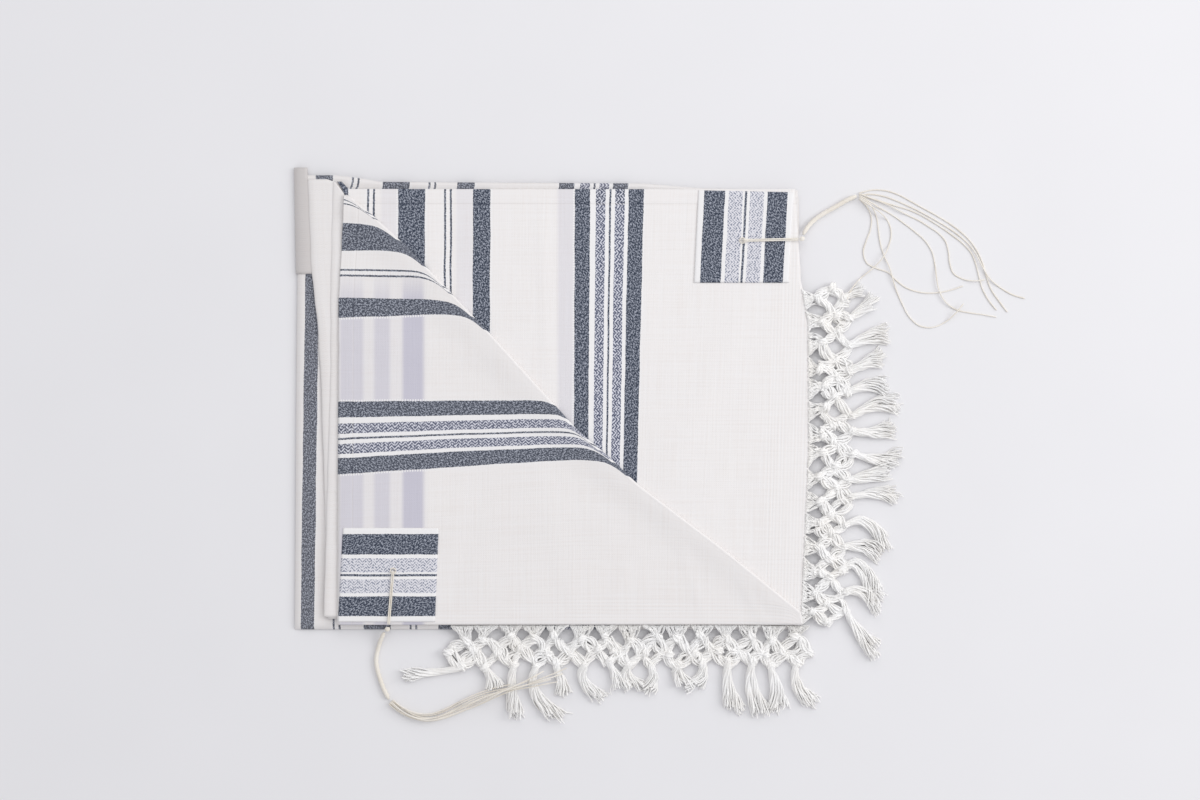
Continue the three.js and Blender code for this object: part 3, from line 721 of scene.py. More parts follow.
@dataclass
class ClothPiece:
    """A sheet of the shawl."""

    name: str
    node: str
    finish: bpy.types.Material
    flat_size: tuple[float, float]
    held: str = "folded"
    slot: str = "cream_cloth"
    wall: float = 0.8
    step: float = 3.0
    area: float | None = None

    def grid(self) -> tuple[Grid, Grid]:
        """Middle surface and flat places, in millimetres."""
        raise NotImplementedError

    def build(self) -> bpy.types.Object:
        """Returns:
            The finished piece.
        """
        points, flat = self.grid()
        piece = mesh_from_grid(self.name, points, flat)
        thicken(piece, self.wall)
        place_piece(piece, self.slot, self.finish, self.node)
        return piece

    def rests_on(self) -> list[str]:
        """What the sheet lies on."""
        return ["hidden_layers"]

    def spread(self, start: float, end: float) -> Grid:
        """Evenly spaced places a step apart."""
        return np.linspace(start, end, max(2, int(round(abs(end - start) / self.step)) + 1))


FOLD_REACH = 8.0
FLOOR_CLEARANCE = 0.8


@dataclass
class UnderPanel(ClothPiece):
    """The other end's panel: it shows all round, and rolls down at the left and the front."""

    front: float = -181.0
    back: float = 281.5
    back_edge: Table = UNDER_BACK
    right_edge: Table = ((-181, 202), (282, 202))
    columns: int = 110
    roll: float = FOLD_REACH
    rolled_front: bool = True
    rise: float = 0.0

    def stations(self, edge: float, far: float, rolled: bool) -> tuple[Grid, Grid]:
        """Places in from an edge, and the share of its rise that each has."""
        if not rolled:
            places = self.spread(edge, far)
            return places, np.ones_like(places)
        angle = np.linspace(0, math.pi / 2, 9)
        places = np.linspace(edge + self.roll, far, self.columns)[1:]
        inward = edge + self.roll * (1 - np.cos(angle))
        return np.concatenate([inward, places]), np.concatenate([np.sin(angle), np.ones_like(places)])

    def grid(self) -> tuple[Grid, Grid]:
        """Middle surface, with stripes that lean a little to the left towards the front."""
        ys, along = self.stations(self.front, self.back, self.rolled_front)
        points, flat = [], []
        for y, share in zip(ys, along):
            left = float(edge_at(UNDER_LEFT, y))
            xs, across = self.stations(left, float(edge_at(self.right_edge, y)), True)
            rows = towards_back(y, self.back, edge_at(self.back_edge, xs))
            top = LAY.under(xs, rows) + 0.6 * creases_at(xs, rows)
            z = FLOOR_CLEARANCE + (top - FLOOR_CLEARANCE) * share * across
            points.append(np.stack([xs, rows, z], axis=-1))
            arc = 6.0 * (1 - np.clip((xs - left) / 20, 0, 1))
            flat.append(np.stack([self.fringed_edge(y) - xs + arc, self.back - rows], axis=-1))
        shape = moved_out(np.array(points), self.rise) if self.rise else np.array(points)
        return shape, np.array(flat)

    def fringed_edge(self, y: float) -> float:
        """Where this layer's own fringed edge would lie."""
        return float(np.interp(y, (-180, 180, 255, 275), (168.0, 173.5, 180.0, 187.5)))

    def rests_on(self) -> list[str]:
        """What the panel lies on."""
        return ["layer_stack"]


@dataclass
class Neckband(UnderPanel):
    """The neckband's left end, plain cloth sewn on the under panel."""

    hem: float = 3.0

    def grid(self) -> tuple[Grid, Grid]:
        """Middle surface, kept in the plain part of the weave, with a stitched groove at its edge."""
        points, flat = super().grid()
        flat = flat.copy()
        flat[..., 0] = 60 + points[..., 0] * 0.1
        groove = np.exp(-(((points[..., 1] - self.front - self.hem) / 1.0) ** 2))
        points[..., 2] -= 0.25 * groove
        return points, flat


@dataclass
class CurledFold(ClothPiece):
    """A stretch whose left edge curls down, between two side edges."""

    left: Table = MIDDLE_LEFT
    right: Table = UPPER_RIGHT
    inset: float = 0.0
    front: float = -170.0
    back: float = 277.0
    columns: int = 90
    curl: float = 1.0
    heights: Callable[[Grid, Grid], Grid] = LAY.middle
    reach: float = 5.0

    def grid(self) -> tuple[Grid, Grid]:
        """Middle surface, in plain cloth."""
        curled = np.array((0.0, 0.05, 0.12, 0.22, 0.36, 0.54, 0.76))
        ends = np.linspace(BACK_BEND, self.back, 12)[1:]
        rows_at = np.concatenate([self.spread(self.front, BACK_BEND), ends])
        points, flat = [], []
        for y in rows_at:
            left = float(edge_at(self.left, y)) + 0.6 * noise.noise(Vector((y / 23, 3.1, self.curl)))
            right = float(edge_at(self.right, y)) + self.inset
            reach = min(self.reach, (right - left) / 2.5)
            xs = np.concatenate([left + reach * curled, np.linspace(left + reach, right, self.columns)])
            inward = np.clip((xs - left) / reach, 0, 1)
            drop = self.curl * (1 - np.sqrt(np.clip(1 - (1 - inward) ** 2, 0, 1)))
            rows = towards_back(y, self.back, edge_at(FOLD_BACK, xs))
            z = self.heights(xs, rows) + 0.8 * creases_at(xs, rows) - drop
            points.append(np.stack([xs, rows, z], axis=-1))
            flat.append(np.stack([90 + (xs - left) * 0.4, self.back - rows], axis=-1))
        return np.array(points), np.array(flat)


HEM = 16.0


def hem_rise(distance: Grid) -> Grid:
    """How much a hem's second thickness and its stitched groove change the surface.

    Args:
        distance: Distance in from the hemmed edge, in millimetres.

    Returns:
        The rise, in millimetres.
    """
    second = 0.35 / (1 + np.exp((distance - HEM) / 0.6))
    groove = 0.3 * np.exp(-(((distance - HEM + 1.2) / 0.7) ** 2))
    return second - groove


@dataclass
class UpperPanel(ClothPiece):
    """The upper panel, hemmed along the back, with its stripes running front to back."""

    front: float = -168.0
    back: float = 267.0
    fringed: float = 203.5

    def grid(self) -> tuple[Grid, Grid]:
        """Middle surface and flat places."""
        furthest = UPPER_BACK[0][1]
        ends = np.array((253, 256, 258, 259.5, 261, 263, 265, 267, 269, 271, 273, furthest))
        points, flat = [], []
        for y in np.concatenate([self.spread(self.front, BACK_BEND), ends]):
            left = float(edge_at(UPPER_LEFT, y))
            right = float(edge_at(UPPER_RIGHT, y)) + 0.4 * noise.noise(Vector((y / 12, 8.0, 1.0)))
            xs = np.concatenate([np.linspace(left, left + 16, 12), np.linspace(left + 16, right, 154)[1:]])
            rows = towards_back(y, furthest, edge_at(UPPER_BACK, xs))
            z = LAY.upper(xs, rows) + creases_at(xs, rows) + hem_rise(self.back - rows)
            z -= 1.6 * np.clip((rows - 262) / 10, 0, 1) * np.clip((-253 - xs) / 8, 0, 1)
            points.append(np.stack([xs, rows, z], axis=-1))
            near = np.clip((xs + 23) / 70, 0, 1)
            lean = (self.back - rows) * (0.004 + 0.023 * near)
            flat.append(np.stack([self.fringed - lean - xs, self.back - rows], axis=-1))
        return np.array(points), np.array(flat)


@dataclass
class TurnedCorner(ClothPiece):
    """The turned corner: rolled along the diagonal, hemmed at the left, fringed at the front."""

    front: float = -176.0
    back: float = 260.5
    radius: float = 1.7
    turn_back: float = 18.0
    crest: float = 3.6
    crest_reach: float = 22.0
    # How far a stripe is dragged along the roll, by its place from front to back.
    drag: Table = ((-30, 18.5), (2, 17), (32, 5), (62, 4), (105, 18.5))
    drag_reach: float = 2.3
    drag_power: float = 1.3
    columns: int = 120
    # Flat distance from the fringe, and where it lies at the hem and beside the roll.
    stretch: tuple[tuple[float, float, float], ...] = (
        (-10, -190, -190), (0, -180, -180), (156.5, -24.8, -10.1), (226.5, 48.9, 50.5),
        (313.2, 134.7, 143.0), (330.5, 155.1, 152.0), (355.8, 180.4, 180.4),
        (379.5, 203.1, 206.0), (408.0, 233.0, 232.0),
        (434.0, 255.5, 255.5), (458.2, 280.0, 280.0),
    )

    def height(self, x: Grid, y: Grid) -> Grid:
        """Middle of the turned cloth, standing up beside its roll."""
        out = (edge_at(DIAGONAL, y) - x) * OUTWARD[0]
        return LAY.upper(x, y) + LAY.step + self.crest * np.exp(-((out / self.crest_reach) ** 2))

    def flat_from(self, x: Grid, y: Grid) -> Grid:
        """Flat distance from the fringe of a place on the turned cloth.

        Args:
            x: Places across.
            y: Places towards the back.

        Returns:
            Flat distances, with the stripes dragged along the roll beside it.
        """
        beside = np.clip((edge_at(DIAGONAL, y) - x) * OUTWARD[0], 0, None)
        share = (self.drag_reach / (self.drag_reach + beside)) ** self.drag_power
        dragged = y + edge_at(self.drag, y) * share
        rows = np.array(self.stretch)
        share = np.clip((x + 265) / 225, 0, 1.1)
        at_hem = np.interp(dragged, rows[:, 1], rows[:, 0])
        at_roll = np.interp(dragged, rows[:, 2], rows[:, 0])
        return at_hem + (at_roll - at_hem) * share

    def grid(self) -> tuple[Grid, Grid]:
        """Middle surface: hem to roll, round the roll, and back under it."""
        points, flat = [], []
        for y in self.spread(self.front, self.back):
            edge = float(edge_at(DIAGONAL, y))
            left = float(edge_at(TURNED_LEFT, y)) + 0.5 * noise.noise(Vector((y / 19, 1.0, 5.0)))
            width = max(edge - left, 1.0)
            room = min(1.0, width / 70)
            share = 1 - (1 - np.linspace(0, 1, self.columns)) ** 1.35
            xs = left + (width - 0.2) * share
            rows = np.full_like(xs, y)
            tall = min(1.0, width / 24)
            z = self.height(xs, rows) - (1 - tall) * self.crest * 0.8
            z = z + creases_at(xs, rows) + hem_rise(xs - left)
            radius = (z[-1] - float(LAY.upper(np.array(edge), np.array(y))) - LAY.step) / 2
            radius = max(radius, 0.3)
            angle = np.linspace(math.pi, 0, 11)[1:]
            centre = np.array((edge, y, z[-1] - radius))
            bulge = radius * 0.9
            rolled = centre + np.outer(np.sin(angle) * bulge, OUTWARD)
            rolled[:, 2] = centre[2] - radius * np.cos(angle)
            back = np.linspace(0, self.turn_back * room, 6)[1:]
            level = np.full_like(back, rolled[-1, 2])
            under = np.stack([edge - back, np.full_like(back, y), level], axis=-1)
            line = np.concatenate([np.stack([xs, rows, z], axis=-1), rolled, under])
            points.append(line)
            top = self.flat_from(xs, rows)
            past = top[-1] + np.arange(1, len(rolled) + len(under) + 1) * 0.9
            along = np.concatenate([xs - left, width + np.arange(1, len(past) + 1) * 0.9])
            flat.append(np.stack([np.concatenate([top, past]), along], axis=-1))
        return np.array(points), np.array(flat)

    def rests_on(self) -> list[str]:
        """What the turned corner lies on."""
        return ["upper_panel"]


@dataclass
class Patch(ClothPiece):
    """A corner patch, made from its panel's surface and moved out."""

    corners: tuple[tuple[float, float], ...] = ()
    heights: Callable[[Grid, Grid], Grid] = LAY.upper
    eyelet: tuple[float, float] = (0.0, 0.0)
    bands_across: bool = True
    step: float = 1.5

    def grid(self) -> tuple[Grid, Grid]:
        """Middle surface: bands run front to back, or across where the corner is turned."""
        front_left, front_right, back_right, back_left = (np.array(c, dtype=float) for c in self.corners)
        count = int(96 / self.step)
        along, across = np.meshgrid(np.linspace(0, 1, count), np.linspace(0, 1, count), indexing="ij")
        left = front_left + (back_left - front_left) * along[..., None]
        right = front_right + (back_right - front_right) * along[..., None]
        place = left + (right - left) * across[..., None]
        x, y = place[..., 0], place[..., 1]
        hole = np.hypot(x - self.eyelet[0], y - self.eyelet[1])
        dip = -1.1 * np.exp(-((hole / 1.6) ** 2)) + 0.5 * np.exp(-(((hole - 3.2) / 1.2) ** 2))
        edge = np.minimum(np.minimum(along, 1 - along), np.minimum(across, 1 - across)) * 96
        sewn = -0.25 * np.exp(-(((edge - 2.2) / 0.6) ** 2)) - 0.5 * np.exp(-((edge / 0.8) ** 2))
        z = self.heights(x, y) + creases_at(x, y) + LAY.step + dip + sewn
        bands, rest = (across, along) if self.bands_across else (1 - along, across)
        flat = np.stack([bands * 97, rest * 97], axis=-1)
        return np.stack([x, y, z], axis=-1), flat


@dataclass
class LayerStack:
    """The layers that don't show: rounded fold edges, one above the other, round a flat solid."""

    finish: bpy.types.Material
    layers: tuple[tuple[float, float, float, float], ...] = (
        (-299, 199, -172, 264), (-301, 202, -170, 266), (-300, 200, -173, 265), (-298, 203, -171, 263),
    )
    height: float = 1.1
    corner: float = 6.0

    def inside(self, edge: float, inset: float) -> float:
        """Middle of a corner's arc, in from an edge."""
        return edge - math.copysign(self.corner + inset, edge)

    def outline(self, edges: tuple[float, float, float, float], inset: float, layer: int) -> Grid:
        """A layer's rounded outline, uneven as cloth laid by hand."""
        left, right, front, back = edges
        points = []
        spots = ((right, back, 0), (left, back, 90), (left, front, 180), (right, front, 270))
        for index, (x, y, start) in enumerate(spots):
            cx, cy = self.inside(x, inset), self.inside(y, inset)
            turn = np.radians(np.linspace(start, start + 90, 6))
            arc = np.stack([cx + self.corner * np.cos(turn), cy + self.corner * np.sin(turn)], axis=-1)
            points.append(arc)
            nx, ny, _ = spots[(index + 1) % 4]
            away = np.radians(start + 90)
            far = np.array((self.inside(nx, inset), self.inside(ny, inset)))
            far = far + self.corner * np.array((np.cos(away), np.sin(away)))
            points.append(np.linspace(arc[-1], far, 60)[1:-1])
        ring = np.concatenate(points)
        for k, (x, y) in enumerate(ring):
            ring[k] *= 1 + 0.0016 * noise.noise(Vector((x / 45, y / 45, layer * 3.3)))
        return ring

    def build(self) -> bpy.types.Object:
        """Build the stack.

        Returns:
            The finished piece.
        """
        rings = []
        for layer, edges in enumerate(self.layers):
            for share in np.linspace(0.0 if layer == 0 else 0.12, 1.0, 8):
                inset = 0.9 * (1 - math.sqrt(max(0.0, 1 - (2 * share - 1) ** 2)))
                ring = self.outline(edges, inset, layer)
                rings.append(np.column_stack([ring, np.full(len(ring), (layer + share) * self.height)]))
        count = len(rings[0])
        faces = []
        for k in range(len(rings) - 1):
            for i in range(count):
                j = (i + 1) % count
                faces.append((k * count + i, k * count + j, (k + 1) * count + j, (k + 1) * count + i))
        faces.append(tuple(reversed(range(count))))
        faces.append(tuple(range((len(rings) - 1) * count, len(rings) * count)))
        points = np.concatenate(rings)
        mesh = bpy.data.meshes.new("layer_stack")
        mesh.from_pydata((points * MM).tolist(), [], faces)
        layer = mesh.uv_layers.new(name="flat")
        for loop in mesh.loops:
            x, y, z = points[loop.vertex_index]
            layer.data[loop.index].uv = ((168.0 - x + 6 * z) * MM, (280 - y + 4 * z) * MM)
        piece = bpy.data.objects.new("layer_stack", mesh)
        bpy.context.scene.collection.objects.link(piece)
        place_piece(piece, "cream_cloth", self.finish, "hidden_layers")
        return piece


# ---------------------------------------------------------------------------------------------
# Yarn by Geometry Nodes


@dataclass(frozen=True)
class YarnTree:
    """Geometry Nodes that turn paths into twisted bundles of strands."""

    name: str = "yarn_bundle"

    def build(self) -> bpy.types.NodeTree:
        """Build the tree.

        Returns:
            A tree with named inputs for its sizes.
        """
        tree = bpy.data.node_groups.new(self.name, "GeometryNodeTree")
        face = tree.interface
        face.new_socket(name="Paths", in_out="INPUT", socket_type="NodeSocketGeometry")
        for label, kind in (
            ("Sides", WHOLE), ("Strands", WHOLE), ("Bundle Radius", FLOAT), ("Strand Radius", FLOAT),
            ("Step", FLOAT), ("Twist", FLOAT), ("Flare", FLOAT), ("Fuzz", FLOAT), ("Seed", WHOLE),
            ("Material", "NodeSocketMaterial"),
        ):
            face.new_socket(name=label, in_out="INPUT", socket_type=kind)
        face.new_socket(name="Yarn", in_out="OUTPUT", socket_type="NodeSocketGeometry")
        g = Graph(tree)
        given, result = g.node("NodeGroupInput"), g.node("NodeGroupOutput")
        take = given.outputs

        curve = g.node("GeometryNodeMeshToCurve")
        g.put(curve.inputs[0], take["Paths"])
        smooth = g.node("GeometryNodeCurveSplineType", spline_type="CATMULL_ROM")
        g.put(smooth.inputs[0], curve.outputs[0])
        even = g.node("GeometryNodeResampleCurve", mode="LENGTH")
        g.put(even.inputs[0], smooth.outputs[0])
        g.put(even.inputs["Length"], take["Step"])
        copies = g.node("GeometryNodeDuplicateElements", domain="SPLINE")
        g.put(copies.inputs["Geometry"], even.outputs[0])
        g.put(copies.inputs["Amount"], take["Strands"])
        number = copies.outputs["Duplicate Index"]

        keep = g.node("GeometryNodeCaptureAttribute")
        keep.capture_items.new("INT", "number")
        g.put(keep.inputs[0], copies.outputs[0])
        g.put(keep.inputs[1], number)
        number = keep.outputs[1]
        spline = g.node("GeometryNodeSplineParameter")
        factor, length = spline.outputs["Factor"], spline.outputs["Length"]
        turn = g.linear(number, 2.39996, g.times(length, take["Twist"]))
        out = g.math("SQRT", g.math("DIVIDE", g.plus(number, 0.4), take["Strands"]))
        open_up = g.linear(g.math("POWER", factor, 3.0), take["Flare"], 1.0)
        radius = g.times(g.times(take["Bundle Radius"], out), open_up)
        normal = g.node("GeometryNodeInputNormal").outputs[0]
        tangent = g.node("GeometryNodeInputTangent").outputs[0]
        side = self.vector(g, "CROSS_PRODUCT", tangent, normal)
        offset = self.vector(
            g, "ADD",
            self.scaled(g, normal, g.times(g.math("COSINE", turn), radius)),
            self.scaled(g, side, g.times(g.math("SINE", turn), radius)),
        )
        wander = g.node("ShaderNodeTexNoise", noise_dimensions="4D")
        g.put(wander.inputs["Vector"], g.node("GeometryNodeInputPosition").outputs[0])
        g.put(wander.inputs["W"], g.linear(number, 1.7, take["Seed"]))
        g.put(wander.inputs["Scale"], 45.0)
        centred = self.vector(g, "SUBTRACT", wander.outputs["Color"], (0.5, 0.5, 0.5))
        loose = g.times(g.math("POWER", factor, 1.5), take["Fuzz"])
        offset = self.vector(g, "ADD", offset, self.scaled(g, centred, loose))
        moved = g.node("GeometryNodeSetPosition")
        g.put(moved.inputs["Geometry"], keep.outputs[0])
        g.put(moved.inputs["Offset"], offset)

        # No strand lies lower than the table.
        split = g.node("ShaderNodeSeparateXYZ")
        g.put(split.inputs[0], g.node("GeometryNodeInputPosition").outputs[0])
        low = g.math("MAXIMUM", split.outputs[2], take["Strand Radius"])
        rested = g.node("GeometryNodeSetPosition")
        g.put(rested.inputs["Geometry"], moved.outputs[0])
        g.put(rested.inputs["Position"], g.combine(split.outputs[0], split.outputs[1], low))

        ends = g.node("FunctionNodeRandomValue", data_type="FLOAT")
        ends.inputs[2].default_value, ends.inputs[3].default_value = 0.82, 1.0
        g.put(ends.inputs["Seed"], take["Seed"])
        trimmed = g.node("GeometryNodeTrimCurve", mode="FACTOR")
        g.put(trimmed.inputs["Curve"], rested.outputs[0])
        shorter = g.linear(g.math("MINIMUM", take["Flare"], 1.0), g.minus(ends.outputs[1], 1.0), 1.0)
        g.put(trimmed.inputs["End"], shorter)
        ring = g.node("GeometryNodeCurvePrimitiveCircle")
        g.put(ring.inputs["Resolution"], take["Sides"])
        g.put(ring.inputs["Radius"], take["Strand Radius"])
        tube = g.node("GeometryNodeCurveToMesh")
        g.put(tube.inputs["Curve"], trimmed.outputs[0])
        g.put(tube.inputs["Profile Curve"], ring.outputs[0])
        tube.inputs["Fill Caps"].default_value = True
        soft = g.node("GeometryNodeSetShadeSmooth")
        g.put(soft.inputs[0], tube.outputs[0])
        real = g.node("GeometryNodeRealizeInstances")
        g.put(real.inputs[0], soft.outputs[0])
        dressed = g.node("GeometryNodeSetMaterial")
        g.put(dressed.inputs["Geometry"], real.outputs[0])
        g.put(dressed.inputs["Material"], take["Material"])
        g.put(result.inputs[0], dressed.outputs[0])
        return tree

    @staticmethod
    def vector(g: Graph, operation: str, a: object, b: object) -> object:
        """Add a Vector Math node, and return its vector."""
        made = g.node("ShaderNodeVectorMath", operation=operation)
        g.put(made.inputs[0], a)
        g.put(made.inputs[1], b)
        return made.outputs[0]

    @staticmethod
    def scaled(g: Graph, vector: object, by: object) -> object:
        """A vector times a value."""
        made = g.node("ShaderNodeVectorMath", operation="SCALE")
        g.put(made.inputs[0], vector)
        g.put(made.inputs["Scale"], by)
        return made.outputs[0]


@dataclass(frozen=True)
class Yarn:
    """Sizes of one kind of yarn bundle, in millimetres."""

    strands: int
    bundle: float
    strand: float
    step: float
    twist: float
    flare: float = 0.0
    fuzz: float = 0.0
    seed: int = 1
    sides: int = 4

    def spin(
        self, name: str, paths: Sequence[Grid], tree: bpy.types.NodeTree, material: bpy.types.Material
    ) -> bpy.types.Mesh:
        """Spin the yarn along paths.

        Args:
            name: Name of the mesh.
            paths: Point lists in millimetres.
            tree: The yarn tree.
            material: The yarn's material.

        Returns:
            A plain mesh of all the strands.
        """
        points, edges = [], []
        for path in paths:
            first = len(points)
            points.extend((np.asarray(path) * MM).tolist())
            edges.extend((first + i, first + i + 1) for i in range(len(path) - 1))
        base = bpy.data.meshes.new(name + "_paths")
        base.from_pydata(points, edges, [])
        holder = bpy.data.objects.new(name + "_paths", base)
        bpy.context.scene.collection.objects.link(holder)
        modifier = holder.modifiers.new("yarn", "NODES")
        modifier.node_group = tree
        values = {
            "Sides": self.sides, "Strands": self.strands,
            "Bundle Radius": self.bundle * MM, "Strand Radius": self.strand * MM,
            "Step": self.step * MM, "Twist": self.twist / MM, "Flare": self.flare, "Fuzz": self.fuzz * MM,
            "Seed": self.seed, "Material": material,
        }
        for item in tree.interface.items_tree:
            if item.item_type == "SOCKET" and item.in_out == "INPUT" and item.name in values:
                modifier[item.identifier] = values[item.name]
        bpy.context.view_layer.update()
        graph = bpy.context.evaluated_depsgraph_get()
        made = bpy.data.meshes.new_from_object(holder.evaluated_get(graph), depsgraph=graph)
        made.name = name
        bpy.data.objects.remove(holder)
        return made


def joined(name: str, meshes: Sequence[bpy.types.Mesh], material: bpy.types.Material) -> bpy.types.Object:
    """One object from several meshes."""
    whole = bmesh.new()
    for mesh in meshes:
        whole.from_mesh(mesh)
    made = bpy.data.meshes.new(name)
    whole.to_mesh(made)
    whole.free()
    made.materials.clear()
    made.materials.append(material)
    made.polygons.foreach_set("use_smooth", [True] * len(made.polygons))
    made.polygons.foreach_set("material_index", [0] * len(made.polygons))
    piece = bpy.data.objects.new(name, made)
    bpy.context.scene.collection.objects.link(piece)
    return piece


@dataclass(frozen=True)
class TasselRow:
    """A tassel: where it leaves the lattice, and where its tip lies, beside its own place."""

    lean: float
    reach: float
    bend: float


@dataclass
class Fringe:
    """A fringed edge: yarns leave the cloth, meet in knots in a lattice, and end in tassels."""

    name: str
    node: str
    edge: Callable[[float], tuple[float, float]]
    outward: tuple[float, float]
    tassels: tuple[TasselRow, ...]
    length: float
    tree: bpy.types.NodeTree
    wool: bpy.types.Material
    seed: int
    root_height: float = 8.6
    rows: tuple[float, ...] = (13.0, 27.0, 41.0)

    def spot(self, along: float, out: float, height: float) -> Grid:
        """A place along the edge, out from it and up."""
        x, y = self.edge(along)
        return np.array((x + self.outward[0] * out, y + self.outward[1] * out, height))

    def height(self, out: float) -> float:
        """How high the yarn lies, falling from the cloth to the table."""
        return max(2.0, self.root_height * math.exp(-out / 15.0))

    def knots(self, rng: random.Random) -> list[list[Grid]]:
        """Places of the knots, one list for each row of the lattice."""
        pitch = self.length / len(self.tassels)
        made = []
        for row, out in enumerate(self.rows):
            shift = 0.5 if row % 2 == 0 else 0.0
            count = len(self.tassels) + (0 if row % 2 == 0 else 1)
            line = []
            for i in range(count):
                along = (i + shift) * pitch + rng.uniform(-5.0, 5.0)
                far = out + rng.uniform(-4.0, 4.0)
                line.append(self.spot(along, far, self.height(far) + rng.uniform(0, 2.0)))
            made.append(line)
        return made

    def sagging(self, start: Grid, end: Grid, rng: random.Random, sway: float = 4.5) -> Grid:
        """A short slack yarn between two places."""
        side = np.array((start[1] - end[1], end[0] - start[0], 0.0))
        side /= max(np.linalg.norm(side), 1e-6)
        bow = rng.uniform(-sway, sway)
        shares = np.linspace(0, 1, 7)
        return np.array([start + (end - start) * t + side * bow * math.sin(math.pi * t) for t in shares])

    def lattice(self, rows: list[list[Grid]], rng: random.Random) -> list[Grid]:
        """Slack yarns from each knot to its neighbours in the next row."""
        cords = []
        for row in range(len(rows) - 1):
            for i, knot in enumerate(rows[row]):
                for j in (i, i + 1) if row % 2 == 0 else (i - 1, i):
                    if 0 <= j < len(rows[row + 1]):
                        cords.append(self.sagging(knot, rows[row + 1][j], rng))
        return cords

    def knot_path(self, centre: Grid, rng: random.Random) -> Grid:
        """A knot: the yarn wrapped nearly twice round itself."""
        lean = rng.uniform(0, math.pi)
        size = rng.uniform(2.6, 4.2)
        turns = np.linspace(0, 3.6 * math.pi, 20)
        x, y, z = np.cos(turns) * size, np.linspace(-2.4, 2.4, 20), np.sin(turns) * size * 0.7
        c, s = math.cos(lean), math.sin(lean)
        return centre + np.stack([x * c - y * s, x * s + y * c, z], axis=-1) + np.array((0, 0, 1.0))

    def tassel_path(self, start: Grid, row: TasselRow, rng: random.Random) -> Grid:
        """A tassel's middle line, from its knot to its tip on the table."""
        out = np.array((*self.outward, 0.0))
        side = np.array((-self.outward[1], self.outward[0], 0.0))
        points = []
        for t in np.linspace(0, 1, 9):
            bow = row.bend * math.sin(math.pi * t) + rng.uniform(-0.8, 0.8)
            place = start + out * (row.reach * t) + side * (row.lean * t * t + bow)
            place[2] = max(2.2, start[2] * (1 - t) ** 2 + 2.6 - 0.8 * t)
            points.append(place)
        return np.array(points)

    def build(self) -> bpy.types.Object:
        """Build and dress the fringe.

        Returns:
            The finished piece.
        """
        rng = random.Random(self.seed)
        rows = self.knots(rng)
        pitch = self.length / len(self.tassels)
        roots = []
        for along in np.arange(0.8, self.length, 1.5):
            knot = rows[0][min(int(along / pitch), len(rows[0]) - 1)]
            start = self.spot(along, -1.5, self.root_height + rng.uniform(-0.4, 0.3))
            end = knot + np.array((rng.uniform(-4, 4), rng.uniform(-4, 4), rng.uniform(-0.6, 1.2)))
            roots.append(self.sagging(start, end, rng, 2.4))
        cords = self.lattice(rows, rng) + self.lattice(self.knots(rng), rng)
        slack = self.lattice(self.knots(rng), rng)
        knots = [self.knot_path(knot, rng) for line in rows for knot in line]
        tassels = []
        for knot, row in zip(rows[-1], self.tassels):
            for spread in (-1, 1):
                lean = TasselRow(row.lean + spread * rng.uniform(2, 8), row.reach * rng.uniform(0.86, 1.02),
                                 row.bend + spread * rng.uniform(0, 3))
                tassels.append(self.tassel_path(knot, lean, rng))
        yarns = (
            ("roots", roots, Yarn(3, 1.1, 0.6, 3.6, 0.3, 0.2, 2.5, self.seed + 3, 3)),
            ("cords", cords, Yarn(8, 3.1, 1.0, 3.2, 0.14, 0.0, 2.6, self.seed)),
            ("slack", slack, Yarn(6, 3.0, 1.1, 3.4, 0.14, 0.0, 2.6, self.seed + 4)),
            ("knots", knots, Yarn(4, 1.7, 1.2, 3.0, 0.4, 0.0, 0.8, self.seed + 1)),
            ("tassels", tassels, Yarn(22, 2.8, 0.72, 4.2, 0.07, 2.0, 9.0, self.seed + 2)),
        )
        spun = [yarn.spin(name, paths, self.tree, self.wool) for name, paths, yarn in yarns]
        piece = joined(self.name, spun, self.wool)
        place_piece(piece, "fringe_yarn", self.wool, self.node)
        return piece


# ---------------------------------------------------------------------------------------------
# Corner tassels: eyelet, loop threads, knot, wound part and free strands

